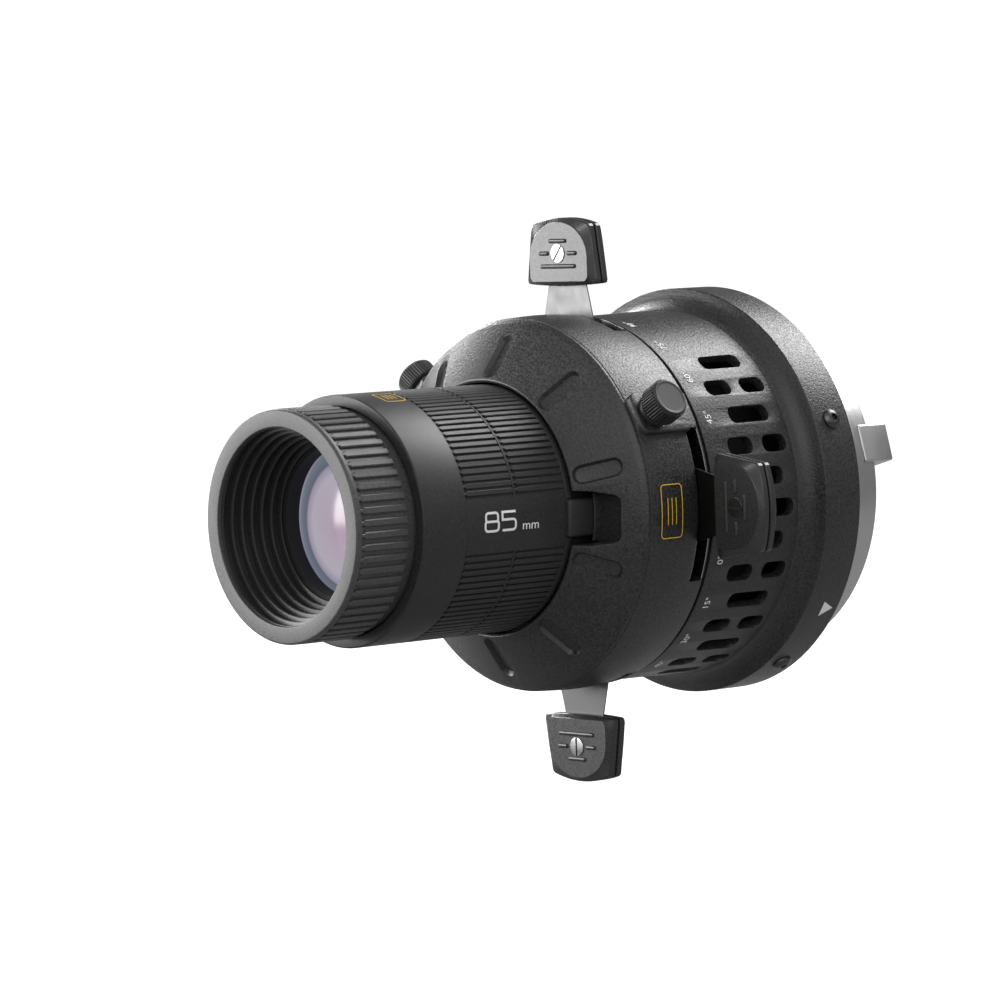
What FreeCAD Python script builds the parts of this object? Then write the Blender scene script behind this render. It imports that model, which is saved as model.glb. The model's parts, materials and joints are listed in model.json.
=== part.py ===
"""An ellipsoidal spotlight attachment: a focusing lens head with four framing shutters.

Millimetres. +Y is the optical axis pointing to the rear, +Z is up and the origin lies on the
axis in the rear face of the rim. An angle about the axis is counted from +X towards +Z.
"""
import FreeCAD, Part

import math
import os

import Sketcher

Y_AXIS = FreeCAD.Vector(0, 1, 0)

# The driving dimensions. "Front" and "Rear" are stations along the optical axis.
SIZES = {
    "RunningGap": 0.05, "PartGap": 0.3,
    # Rear mount ring with its three bayonet claws, and the rim that carries it.
    "MountRadius": 62.8, "MountBore": 52.0, "MountRear": 20.8, "SpigotRadius": 58.0, "SpigotFront": -6.0,
    "ClawFront": 17.6, "ClawRear": 30.2, "ClawHalfWidth": 7.1, "ClawInner": 52.8, "ClawOuter": 62.2,
    "SeatRadius": 63.4, "SeatFront": -3.0,
    "MountScrewReach": 57.4, "MountScrewHead": 2.7, "MountScrewShank": 1.5,
    "MountScrewHeight": 3.0, "MountScrewFront": 6.0,
    "RimRadius": 75.0, "RimFront": -18.3, "RimLedge": -8.0, "RimEdge": 0.7, "CoveFront": -25.0,
    "RimScrewStation": -9.4, "RimScrewHead": 3.7, "RimScrewHeight": 2.1, "RimScrewShank": 2.0,
    "RimScrewFoot": 68.6,
    # Vented barrel.
    "BarrelFront": -67.9, "BarrelRadius": 66.6, "BarrelRearRadius": 67.4, "BarrelBore": 63.6,
    "BarrelLipRear": -65.0, "BarrelLipBore": 60.0, "VentHalfWidth": 3.25,
    "ShortVentFront": -56.0, "ShortVentRear": -44.0, "NextVentFront": -38.9, "NextVentRear": -27.4,
    "LongVentFront": -50.9, "LongVentRear": -31.6,
    # Condenser, inside the barrel.
    "CellRadius": 50.0, "CellBore": 47.0, "CellFront": -50.0, "CellFlangeFront": -10.2,
    "CondenserRadius": 46.9, "CondenserSlim": 43.0, "CondenserRear": -10.9, "CondenserThick": 13.0,
    "CondenserCurve": 110.0,
    # Shutter housing, the rear of the rotating head.
    "HousingFront": -98.0, "HousingRear": -68.5, "HousingFrontRadius": 67.5, "HousingWaist": -83.0,
    "HousingWaistRadius": 68.3, "HousingRearRadius": 67.3, "HousingBore": 62.0,
    "WindowFront": -75.6, "WindowRear": -69.4, "WindowHalfWidth": 27.4,
    "BossHalfWidth": 8.0, "BossTop": 70.0, "BossFoot": 64.0, "BossFront": -97.8, "BossRear": -71.0,
    "GateFront": -77.5, "GateRear": -76.0, "GateHole": 30.0, "PlateRadius": 61.9,
    "PostReach": 58.0, "PostRadius": 1.8, "RetainerRear": -68.4, "RetainerHole": 32.0,
    "NeckRadius": 59.95, "NeckBore": 57.0, "NeckRear": -64.65, "SwivelRadius": 61.0, "SwivelRear": -61.8,
    # Front cover with its latch well.
    "CoverNoseFront": -115.6, "CoverNoseRadius": 46.2, "CoverBore": 45.2, "CoverShoulder": 66.0,
    "CoverShoulderFront": -100.6, "CoverEdge": 67.3, "CoverEdgeFront": -98.9, "CoverRear": -98.05,
    "CoverInnerRadius": 61.5, "CoverInnerFront": -99.9, "CoverWall": 4.4,
    "RecessDepth": 1.0, "RecessHalfWidth": 3.5, "RecessStart": 1.2, "RecessEnd": 19.6,
    "WellFloor": -104.0, "WellHalfWidth": 9.8, "WellReach": 60.0, "WellBlockRear": -101.4,
    "WellBlockHalfWidth": 12.0, "WellBlockReach": 61.4,
    "ButtonHalfWidth": 6.7, "ButtonInner": 42.2, "ButtonTop": 46.2, "ButtonFront": -117.5,
    "ButtonRear": -100.2, "SlotFloor": 40.5, "SlotMargin": 0.35,
    # Lens socket, clamps and lens tube.
    "SocketBore": 42.1, "SocketFront": -99.8, "SocketFloor": -96.0, "SocketRear": -84.0,
    "SocketFlange": 61.4, "SocketCollar": 57.5, "SocketCollarBore": 54.0,
    "KnobStation": -90.0, "KnobRadius": 7.4, "KnobFoot": 70.3, "KnobTop": 81.0, "KnobCollar": 5.6,
    "KnobCollarTop": 72.6, "StudRadius": 2.95, "StudFoot": 61.6, "ShoeRadius": 4.0, "ShoeFoot": 57.8,
    "ShoeTop": 60.4,
    "TubeFront": -184.0, "TubeRadius": 44.5, "TubeMouth": 40.3, "TubeMouthRear": -166.0, "TubeBore": 38.0,
    "TubeShoulder": -114.6, "TubeSpigot": 42.0, "TubeStop": -106.0, "TubeRear": -96.2, "TubeStopBore": 36.0,
    "TubeChamfer": 0.6,
    # Focusing ring with its hood.
    "RingFront": -211.0, "RingRear": -188.0, "RingRadius": 41.0, "RingMouth": 34.7, "RingFace": 1.6,
    "RingBore": 36.6, "RingSkirt": 39.6, "RingSkirtBore": 38.2, "RingSkirtRear": -172.0, "RingChamfer": 0.8,
    "HoodMouth": 34.5, "HoodRadius": 36.5, "HoodWaist": 30.5, "HoodWaistStation": -194.0,
    "HoodThroat": 27.5, "HoodRear": -187.2,
    # Sliding lens group.
    "GroupRadius": 37.95, "GroupFront": -186.9, "GroupRear": -140.0, "GroupBore": 33.1, "GroupMouth": 26.2,
    "GroupShoulder": 33.0, "GroupShoulderRear": -183.0, "GroupLipRear": -180.9, "GroupLipFoot": -177.6,
    "ElementRadius": 33.0, "FrontVertex": -185.4, "FrontThick": 19.4, "FrontCurve": 70.0, "MeetingCurve": 120.0,
    "RearVertex": -160.5, "RearThick": 16.5, "RearCurve": 90.0,
    "SpacerBore": 30.0, "SpacerFront": -170.4, "SpacerRear": -156.0, "SpacerDish": 0.9,
    "LockBore": 29.5, "LockFront": -150.0, "LockDish": 1.4, "LockRear": -143.0,
    # Framing shutters.
    "BladePlane": -74.4, "BladeStep": 1.2, "BladeHalfThick": 0.25, "BladeInner": 26.0, "BladeHalfWidth": 26.0,
    "BladeKnee": 36.0, "BladeShoulder": 44.0, "BladeShoulderHalf": 18.6, "BladeWaist": 80.0,
    "BladeWaistHalf": 9.6, "BladeTip": 97.0, "BladeTipHalf": 9.0,
    "PadReach": 61.0, "PadRadius": 4.5, "PadFront": 0.65, "PadRear": 0.35,
    "GripInner": 78.9, "GripHalfWidth": 18.7, "GripOuter": 100.4, "GripOuterHalf": 15.5, "GripThick": 4.2,
    "GripInnerCurve": 190.0, "GripOuterCurve": 47.0, "GripCorner": 2.4, "GripScrewReach": 90.0,
    "GripScrewHead": 3.5, "GripScrewShank": 1.6, "GripScrewHeight": 0.9,
}

CLAW_ANGLE = 18
VENT_START = 40
LONG_VENT_START = 50
VENT_PITCH = 20
SHORT_VENTS = 14
LONG_VENTS = 15
RIM_SCREW_ANGLES = (24, 126, 204, 306)
SHUTTER_CLOCK = 3
SHUTTERS = {"right": 0, "left": 180, "top": 90, "bottom": 270}
CLAMPS = {"right": 32, "left": 148}
COVER_RECESSES = 10

document = FreeCAD.newDocument("Spotlight")
sheet = document.addObject("Spreadsheet::Sheet", "Sizes")
for row, (alias, size) in enumerate(SIZES.items(), start=1):
    sheet.set("A%d" % row, alias)
    sheet.set("B%d" % row, str(size))
    sheet.setAlias("B%d" % row, alias)
document.recompute()
subparts = []


def amount(expression):
    """The value of a sum of sheet names and numbers, such as "RimLedge - PartGap"."""
    total = 0.0
    sign = 1
    for word in expression.split():
        if word in ("+", "-"):
            sign = 1 if word == "+" else -1
        else:
            total += sign * (SIZES[word] if word in SIZES else float(word))
    return total


def bound(expression):
    """The same sum as a FreeCAD expression that reads the sheet."""
    return " ".join("Sizes." + word if word in SIZES else word for word in expression.split())


def keep(part, label):
    """Name a finished sub-part and add it to those that are written out."""
    part.Label = label
    subparts.append(part)
    return part


def radial(angle):
    return FreeCAD.Vector(math.cos(math.radians(angle)), 0, math.sin(math.radians(angle)))


def around_axis(angle):
    """Turn about the optical axis, from +X towards +Z."""
    return FreeCAD.Placement(FreeCAD.Vector(), FreeCAD.Rotation(Y_AXIS, -angle))


def outward_plane(angle, tilt=0.0, reach=0.0, station=0.0):
    """A sketch plane that faces outwards at an angle, its x axis running to the rear."""
    out = radial(angle)
    lean = math.radians(tilt)
    along = Y_AXIS * math.cos(lean) + out * math.sin(lean)
    facing = out * math.cos(lean) - Y_AXIS * math.sin(lean)
    rotation = FreeCAD.Rotation(along, facing.cross(along), facing, "ZXY")
    return FreeCAD.Placement(out * reach + Y_AXIS * station, rotation)


def square_plane(angle, station):
    """A sketch plane square to the optical axis, facing the rear, its x axis radial."""
    rotation = FreeCAD.Rotation(radial(angle), Y_AXIS.cross(radial(angle)), Y_AXIS, "ZXY")
    return FreeCAD.Placement(Y_AXIS * station, rotation)


def new_body(label):
    return document.addObject("PartDesign::Body", label)


def origin_feature(body, role):
    return next(item for item in body.Origin.OriginFeatures if item.Role == role)


def new_sketch(body, label, placement=FreeCAD.Placement()):
    sketch = body.newObject("Sketcher::SketchObject", label)
    sketch.AttachmentSupport = [(origin_feature(body, "XY_Plane"), "")]
    sketch.MapMode = "FlatFace"
    sketch.AttachmentOffset = placement
    return sketch


def fix(sketch, kind, geometry, point, expression):
    """Hold a point at a bound distance from the sketch's own origin."""
    index = sketch.addConstraint(Sketcher.Constraint(kind, -1, 1, geometry, point, amount(expression)))
    sketch.setExpression("Constraints[%d]" % index, bound(expression))


def fix_radius(sketch, geometry, expression):
    index = sketch.addConstraint(Sketcher.Constraint("Radius", geometry, amount(expression)))
    sketch.setExpression("Constraints[%d]" % index, bound(expression))


def outline(sketch, corners):
    """Close a polygon whose corners are pairs of bound expressions."""
    spots = [FreeCAD.Vector(amount(across), amount(along), 0) for across, along in corners]
    for index, spot in enumerate(spots):
        sketch.addGeometry(Part.LineSegment(spot, spots[(index + 1) % len(spots)]), False)
    for index, (across, along) in enumerate(corners):
        previous = (index - 1) % len(corners)
        sketch.addConstraint(Sketcher.Constraint("Coincident", previous, 2, index, 1))
        fix(sketch, "DistanceX", index, 1, across)
        fix(sketch, "DistanceY", index, 1, along)


def oblong(sketch, start, end, half_width):
    """A round-ended slot along the sketch's x axis."""
    radius = amount(half_width)
    first = FreeCAD.Vector(amount(start) + radius, 0, 0)
    last = FreeCAD.Vector(amount(end) - radius, 0, 0)
    side = FreeCAD.Vector(0, radius, 0)
    facing = FreeCAD.Vector(0, 0, 1)
    near = Part.ArcOfCircle(Part.Circle(first, facing, radius), math.pi / 2, 3 * math.pi / 2)
    far = Part.ArcOfCircle(Part.Circle(last, facing, radius), -math.pi / 2, math.pi / 2)
    sketch.addGeometry(near, False)
    sketch.addGeometry(Part.LineSegment(first - side, last - side), False)
    sketch.addGeometry(far, False)
    sketch.addGeometry(Part.LineSegment(last + side, first + side), False)
    sketch.addConstraint(Sketcher.Constraint("Tangent", 0, 2, 1, 1))
    sketch.addConstraint(Sketcher.Constraint("Tangent", 1, 2, 2, 1))
    sketch.addConstraint(Sketcher.Constraint("Tangent", 2, 2, 3, 1))
    sketch.addConstraint(Sketcher.Constraint("Tangent", 3, 2, 0, 1))
    sketch.addConstraint(Sketcher.Constraint("PointOnObject", 0, 3, -1))
    fix_radius(sketch, 0, half_width)
    fix(sketch, "DistanceX", 0, 3, start + " + " + half_width)
    fix(sketch, "DistanceX", 2, 3, end + " - " + half_width)


def lathe(label, corners):
    """A body turned about the Y axis from (radius, station) corners."""
    body = new_body(label)
    profile = new_sketch(body, label + "_profile")
    outline(profile, corners)
    turn = body.newObject("PartDesign::Revolution", label + "_turn")
    turn.Profile = profile
    turn.ReferenceAxis = (profile, ["V_Axis"])
    turn.Angle = 360
    return body


def ring(label, bore, radius, front, rear):
    return lathe(label, [(bore, front), (radius, front), (radius, rear), (bore, rear)])


def pocket(body, sketch, depth, outwards):
    cut = body.newObject("PartDesign::Pocket", sketch.Name + "_cut")
    cut.Profile = sketch
    cut.setExpression("Length", bound(depth))
    cut.Reversed = outwards
    return cut


def pad(body, sketch, depth):
    solid = body.newObject("PartDesign::Pad", sketch.Name + "_pad")
    solid.Profile = sketch
    solid.setExpression("Length", bound(depth))
    return solid


def pattern(body, feature, count, angle=360):
    """Repeat a feature about the optical axis, towards falling angles."""
    copies = body.newObject("PartDesign::PolarPattern", feature.Name + "_pattern")
    copies.Originals = [feature]
    copies.Axis = (origin_feature(body, "Y_Axis"), [""])
    copies.Angle = angle
    copies.Occurrences = count
    body.Tip = copies
    return copies


def rod(label, radius, front, rear, reach="0", angle=0):
    """A cylinder along the optical axis, at a distance from it."""
    cylinder = document.addObject("Part::Cylinder", label)
    cylinder.setExpression("Radius", bound(radius))
    cylinder.setExpression("Height", "%s - (%s)" % (bound(rear), bound(front)))
    spot = radial(angle) * amount(reach) + Y_AXIS * amount(front)
    cylinder.Placement = FreeCAD.Placement(spot, FreeCAD.Rotation(FreeCAD.Vector(1, 0, 0), -90))
    return cylinder


def block(label, inner, outer, front, rear, half_width, angle=0):
    """A box that reaches outwards at an angle."""
    box = document.addObject("Part::Box", label)
    box.setExpression("Length", "%s - (%s)" % (bound(outer), bound(inner)))
    box.setExpression("Width", "%s - (%s)" % (bound(rear), bound(front)))
    box.setExpression("Height", "2 * (%s)" % bound(half_width))
    corner = FreeCAD.Placement(
        FreeCAD.Vector(amount(inner), amount(front), -amount(half_width)), FreeCAD.Rotation())
    box.Placement = around_axis(angle) * corner
    return box


def ball(label, station, curve):
    sphere = document.addObject("Part::Sphere", label)
    sphere.setExpression("Radius", bound(curve))
    sphere.Placement = FreeCAD.Placement(Y_AXIS * amount(station), FreeCAD.Rotation())
    return sphere


def fuse(label, pieces):
    joined = document.addObject("Part::MultiFuse", label)
    joined.Shapes = pieces
    return joined


def common(label, pieces):
    shared = document.addObject("Part::MultiCommon", label)
    shared.Shapes = pieces
    return shared


def cut(label, base, tool):
    remainder = document.addObject("Part::Cut", label)
    remainder.Base = base
    remainder.Tool = tool
    return remainder


def group(label, pieces):
    compound = document.addObject("Part::Compound", label)
    compound.Links = pieces
    return compound


def mount_ring():
    """The bayonet: a skirt with three claws and a ring of counterbored screw holes."""
    body = lathe("mount_ring_skirt", [
        ("MountBore", "SpigotFront"), ("SpigotRadius", "SpigotFront"), ("SpigotRadius", "SeatFront"),
        ("SeatRadius", "SeatFront"), ("SeatRadius", "0"), ("MountRadius", "0"),
        ("MountRadius", "MountRear"), ("MountBore", "MountRear")])
    plan = new_sketch(body, "claw_plan", square_plane(CLAW_ANGLE, SIZES["ClawFront"]))
    half = SIZES["ClawHalfWidth"]
    spread = math.asin(half / SIZES["ClawOuter"])
    edge = SIZES["ClawOuter"] * math.cos(spread)
    inner = SIZES["ClawInner"]
    facing = FreeCAD.Vector(0, 0, 1)
    rim = Part.ArcOfCircle(Part.Circle(FreeCAD.Vector(), facing, SIZES["ClawOuter"]), -spread, spread)
    plan.addGeometry(Part.LineSegment(FreeCAD.Vector(inner, -half, 0), FreeCAD.Vector(edge, -half, 0)), False)
    plan.addGeometry(rim, False)
    plan.addGeometry(Part.LineSegment(FreeCAD.Vector(edge, half, 0), FreeCAD.Vector(inner, half, 0)), False)
    plan.addGeometry(Part.LineSegment(FreeCAD.Vector(inner, half, 0), FreeCAD.Vector(inner, -half, 0)), False)
    for index in range(4):
        plan.addConstraint(Sketcher.Constraint("Coincident", index, 2, (index + 1) % 4, 1))
    plan.addConstraint(Sketcher.Constraint("Coincident", 1, 3, -1, 1))
    fix_radius(plan, 1, "ClawOuter")
    fix(plan, "DistanceX", 0, 1, "ClawInner")
    fix(plan, "DistanceY", 0, 1, "0 - ClawHalfWidth")
    fix(plan, "DistanceX", 3, 1, "ClawInner")
    fix(plan, "DistanceY", 3, 1, "ClawHalfWidth")
    plan.addConstraint(Sketcher.Constraint("Horizontal", 0))
    plan.addConstraint(Sketcher.Constraint("Horizontal", 2))
    pattern(body, pad(body, plan, "ClawRear - ClawFront"), 3)
    angles = [CLAW_ANGLE + 60 + 120 * number for number in range(3)]
    wells = []
    screws = []
    for angle in angles:
        tag = str(angle)
        wells.append(rod("head_well_" + tag, "MountScrewHead + RunningGap", "MountRear - MountScrewHeight",
                         "MountRear", "MountScrewReach", angle))
        wells.append(rod("shank_well_" + tag, "MountScrewShank + RunningGap", "MountScrewFront",
                         "MountRear - MountScrewHeight", "MountScrewReach", angle))
        head = rod("mount_head_" + tag, "MountScrewHead", "MountRear - MountScrewHeight",
                   "MountRear", "MountScrewReach", angle)
        shank = rod("mount_shank_" + tag, "MountScrewShank", "MountScrewFront",
                    "MountRear - MountScrewHeight", "MountScrewReach", angle)
        screws.append(fuse("mount_screw_" + tag, [head, shank]))
    keep(cut("mount_ring", body, fuse("screw_wells", wells)), "mount_ring")
    keep(group("mount_screws", screws), "mount_screws")


def rim():
    """The large flange behind the barrel and its four side screws."""
    body = lathe("rim_body", [
        ("BarrelRearRadius + RunningGap", "CoveFront"), ("RimRadius - 4.4", "CoveFront + 0.8"),
        ("RimRadius - 1.8", "CoveFront + 3.4"), ("RimRadius - 0.5", "RimFront"),
        ("RimRadius", "RimFront + 0.5"), ("RimRadius", "0 - RimEdge"), ("RimRadius - RimEdge", "0"),
        ("SeatRadius + RunningGap", "0"), ("SeatRadius + RunningGap", "SeatFront"),
        ("SpigotRadius + RunningGap", "SeatFront"), ("SpigotRadius + RunningGap", "RimLedge"),
        ("BarrelRearRadius + RunningGap", "RimLedge")])
    screws = []
    holes = []
    for angle in RIM_SCREW_ANGLES:
        spin = FreeCAD.Rotation(Y_AXIS, radial(angle))
        place = FreeCAD.Placement(Y_AXIS * SIZES["RimScrewStation"], spin)
        screw = lathe("rim_screw_%d" % angle, [
            ("0", "RimScrewFoot"), ("RimScrewShank", "RimScrewFoot"), ("RimScrewShank", "RimRadius"),
            ("RimScrewHead", "RimRadius"), ("RimScrewHead", "RimRadius + 0.5"),
            ("RimScrewHead - 1.4", "RimRadius + RimScrewHeight"), ("0", "RimRadius + RimScrewHeight")])
        screw.Placement = place
        screws.append(screw)
        hole = lathe("rim_hole_%d" % angle, [
            ("0", "RimScrewFoot - PartGap"), ("RimScrewShank + RunningGap", "RimScrewFoot - PartGap"),
            ("RimScrewShank + RunningGap", "RimRadius + PartGap"), ("0", "RimRadius + PartGap")])
        hole.Placement = place
        holes.append(hole)
    keep(cut("rim_flange", body, fuse("rim_holes", holes)), "rim_flange")
    keep(group("rim_screws", screws), "rim_screws")


def vented_barrel():
    """The thin barrel behind the shutters, slotted except under its bare upper panel."""
    body = lathe("vented_barrel", [
        ("BarrelLipBore", "BarrelFront"), ("BarrelRadius", "BarrelFront"),
        ("BarrelRearRadius", "CoveFront"), ("BarrelRearRadius", "RimLedge - RunningGap"),
        ("BarrelBore", "RimLedge - RunningGap"), ("BarrelBore", "BarrelLipRear"),
        ("BarrelLipBore", "BarrelLipRear")])
    rows = (("short_vent", "ShortVentFront", "ShortVentRear", VENT_START, SHORT_VENTS),
            ("next_vent", "NextVentFront", "NextVentRear", VENT_START, SHORT_VENTS),
            ("long_vent", "LongVentFront", "LongVentRear", LONG_VENT_START, LONG_VENTS))
    for label, front, rear, start, count in rows:
        slot = new_sketch(body, label, outward_plane(start))
        oblong(slot, front, rear, "VentHalfWidth")
        pattern(body, pocket(body, slot, "RimRadius", True), count, VENT_PITCH * (count - 1))
    keep(body, "vented_barrel")


def lens(label, radius, front, thick, front_curve=None, rear_curve=None):
    """A round element between two vertices; a side without a curve is flat."""
    pieces = [rod(label + "_blank", radius, front, front + " + " + thick)]
    if front_curve:
        pieces.append(ball(label + "_front", front + " + " + front_curve, front_curve))
    if rear_curve:
        pieces.append(ball(label + "_rear", front + " + " + thick + " - " + rear_curve, rear_curve))
    keep(common(label, pieces), label)


def condenser():
    """Two plano-convex lenses, curved sides together, in a cell on the rim."""
    keep(lathe("condenser_cell", [
        ("CondenserSlim", "CellFront"), ("CellRadius", "CellFront"), ("CellRadius", "CellFlangeFront"),
        ("BarrelBore - RunningGap", "CellFlangeFront"),
        ("BarrelBore - RunningGap", "RimLedge - RunningGap"),
        ("CellBore", "RimLedge - RunningGap"), ("CellBore", "CellFront + 2"),
        ("CondenserSlim", "CellFront + 2")]), "condenser_cell")
    rear_front = "CondenserRear - CondenserThick"
    lens("rear_condenser_lens", "CondenserRadius", rear_front, "CondenserThick", front_curve="CondenserCurve")
    front_front = "CellFront + 2 + RunningGap"
    lens("front_condenser_lens", "CondenserRadius", front_front, "CondenserThick", rear_curve="CondenserCurve")
    keep(ring("condenser_spacer", "CondenserSlim + 1", "CondenserRadius",
              "CellFront + 2 + CondenserThick - 8.5", "CondenserRear - 4.5"), "condenser_spacer")
    keep(ring("condenser_lock_ring", "CondenserSlim", "CondenserRadius",
              "CondenserRear + RunningGap", "RimLedge - 0.4"), "condenser_lock_ring")


def shutter_housing():
    """The textured drum with four shutter windows and two clamp bosses."""
    body = lathe("housing_drum", [
        ("HousingBore", "HousingFront"), ("HousingFrontRadius", "HousingFront"),
        ("HousingWaistRadius", "HousingWaist"), ("HousingRearRadius", "HousingRear"),
        ("HousingBore", "HousingRear")])
    window = new_sketch(body, "window", outward_plane(0))
    outline(window, [
        ("WindowFront", "0 - WindowHalfWidth"), ("WindowRear", "0 - WindowHalfWidth"),
        ("WindowRear", "WindowHalfWidth"), ("WindowFront", "WindowHalfWidth")])
    pattern(body, pocket(body, window, "RimRadius", True), len(SHUTTERS))
    body.Placement = around_axis(SHUTTER_CLOCK)
    bosses = []
    holes = []
    for side, angle in CLAMPS.items():
        bosses.append(block("boss_" + side, "BossFoot", "BossTop", "BossFront", "BossRear",
                            "BossHalfWidth", angle))
        hole = lathe("stud_hole_" + side, [
            ("0", "ShoeTop"), ("StudRadius + RunningGap", "ShoeTop"),
            ("StudRadius + RunningGap", "BossTop + PartGap"), ("0", "BossTop + PartGap")])
        hole.Placement = clamp_placement(angle)
        holes.append(hole)
    drum = fuse("drum_with_bosses", [body] + bosses)
    keep(cut("shutter_housing", drum, fuse("stud_holes", holes)), "shutter_housing")


def clamp_placement(angle):
    return FreeCAD.Placement(Y_AXIS * SIZES["KnobStation"], FreeCAD.Rotation(Y_AXIS, radial(angle)))


def clamps():
    """Two thumb knobs, each driving a shoe against the lens socket's collar."""
    for side, angle in CLAMPS.items():
        knob = lathe("clamp_knob_" + side, [
            ("0", "StudFoot"), ("StudRadius", "StudFoot"), ("StudRadius", "KnobFoot"),
            ("KnobCollar", "KnobFoot"), ("KnobCollar", "KnobCollarTop"), ("KnobRadius", "KnobCollarTop"),
            ("KnobRadius", "KnobTop - 0.6"), ("KnobRadius - 0.6", "KnobTop"), ("0", "KnobTop")])
        knob.Placement = clamp_placement(angle)
        keep(knob, "clamp_knob_" + side)
        shoe = lathe("clamp_shoe_" + side, [
            ("0", "ShoeFoot"), ("ShoeRadius", "ShoeFoot"), ("ShoeRadius", "ShoeTop"), ("0", "ShoeTop")])
        shoe.Placement = clamp_placement(angle)
        keep(shoe, "clamp_shoe_" + side)


def gate():
    """The plates on both sides of the shutters, their posts and the swivel ring."""
    keep(ring("gate_plate", "GateHole", "PlateRadius", "GateFront", "GateRear"), "gate_plate")
    posts = [rod("post_%d" % angle, "PostRadius", "GateRear", "WindowRear", "PostReach", angle + SHUTTER_CLOCK)
             for angle in (45, 135, 225, 315)]
    keep(group("gate_posts", posts), "gate_posts")
    keep(lathe("shutter_retainer", [
        ("RetainerHole", "WindowRear"), ("PlateRadius", "WindowRear"), ("PlateRadius", "RetainerRear"),
        ("NeckRadius", "RetainerRear"), ("NeckRadius", "NeckRear"), ("NeckBore", "NeckRear"),
        ("NeckBore", "RetainerRear"), ("RetainerHole", "RetainerRear")]), "shutter_retainer")
    keep(ring("swivel_ring", "NeckBore", "SwivelRadius", "NeckRear", "SwivelRear"), "swivel_ring")


def front_cover():
    """The conical cover with ten radial recesses and the well around the release button."""
    body = lathe("cover_cone", [
        ("CoverBore", "CoverNoseFront + 0.6"), ("CoverNoseRadius", "CoverNoseFront"),
        ("CoverShoulder", "CoverShoulderFront"), ("CoverEdge", "CoverEdgeFront"), ("CoverEdge", "CoverRear"),
        ("CoverInnerRadius", "CoverRear"), ("CoverInnerRadius", "CoverInnerFront"),
        ("CoverBore", "CoverNoseFront + CoverWall")])
    rise = SIZES["CoverShoulderFront"] - SIZES["CoverNoseFront"]
    run = SIZES["CoverShoulder"] - SIZES["CoverNoseRadius"]
    lean = math.degrees(math.atan2(run, rise))
    recess = new_sketch(body, "recess", outward_plane(
        180 / COVER_RECESSES, lean, SIZES["CoverNoseRadius"], SIZES["CoverNoseFront"]))
    oblong(recess, "RecessStart", "RecessEnd", "RecessHalfWidth")
    pattern(body, pocket(body, recess, "RecessDepth", False), COVER_RECESSES)
    blank = lathe("cover_blank", [
        ("CoverBore", "CoverNoseFront + 0.6"), ("CoverNoseRadius", "CoverNoseFront"),
        ("CoverShoulder", "CoverShoulderFront"), ("CoverBore", "CoverShoulderFront")])
    backing_block = block("backing_block", "CoverBore", "WellBlockReach", "CoverNoseFront", "WellBlockRear",
                          "WellBlockHalfWidth")
    backing = common("well_backing", [blank, backing_block])
    well = block("well", "SlotFloor", "WellReach", "ButtonFront - 3", "WellFloor", "WellHalfWidth")
    passage = block("button_passage", "SlotFloor", "ButtonTop + PartGap", "ButtonFront", "CoverRear",
                    "ButtonHalfWidth + PartGap")
    cone = fuse("cone_with_backing", [body, backing])
    keep(cut("front_cover", cone, fuse("well_cuts", [well, passage])), "front_cover")
    keep(block("release_button", "ButtonInner", "ButtonTop", "ButtonFront", "ButtonRear", "ButtonHalfWidth"),
         "release_button")


def lens_barrel():
    """The socket in the head and the tube that plugs into it."""
    keep(lathe("lens_socket", [
        ("SocketBore", "SocketFront"), ("SocketFlange", "SocketFront"), ("SocketFlange", "SocketFloor"),
        ("SocketCollar", "SocketFloor"), ("SocketCollar", "SocketRear"), ("SocketCollarBore", "SocketRear"),
        ("SocketCollarBore", "SocketFloor"), ("SocketBore", "SocketFloor")]), "lens_socket")
    tube = lathe("tube_body", [
        ("TubeMouth", "TubeFront"), ("TubeRadius - TubeChamfer", "TubeFront"),
        ("TubeRadius", "TubeFront + TubeChamfer"), ("TubeRadius", "TubeShoulder"),
        ("TubeSpigot", "TubeShoulder"), ("TubeSpigot", "TubeRear"), ("TubeStopBore", "TubeRear"),
        ("TubeStopBore", "TubeStop"), ("TubeBore", "TubeStop"), ("TubeBore", "TubeMouthRear"),
        ("TubeMouth", "TubeMouthRear")])
    slot = block("button_slot", "SlotFloor", "TubeRadius + 2", "ButtonFront - SlotMargin",
                 "ButtonRear + SlotMargin", "ButtonHalfWidth + SlotMargin")
    keep(cut("lens_tube", tube, slot), "lens_tube")


def focusing_ring():
    keep(lathe("focus_ring", [
        ("RingMouth", "RingFront"), ("RingRadius - RingChamfer", "RingFront"),
        ("RingRadius", "RingFront + RingChamfer"), ("RingRadius", "RingRear - RingChamfer"),
        ("RingRadius - RingChamfer", "RingRear"), ("RingSkirt", "RingRear"), ("RingSkirt", "RingSkirtRear"),
        ("RingSkirtBore", "RingSkirtRear"), ("RingSkirtBore", "RingRear"), ("RingBore", "RingRear"),
        ("RingBore", "RingFront + RingFace"), ("RingMouth", "RingFront + RingFace")]), "focus_ring")
    keep(lathe("front_hood", [
        ("HoodMouth", "RingFront + RingFace"), ("HoodRadius", "RingFront + RingFace"),
        ("HoodRadius", "HoodRear"), ("HoodThroat", "HoodRear"), ("HoodWaist", "HoodWaistStation")]),
        "front_hood")


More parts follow.
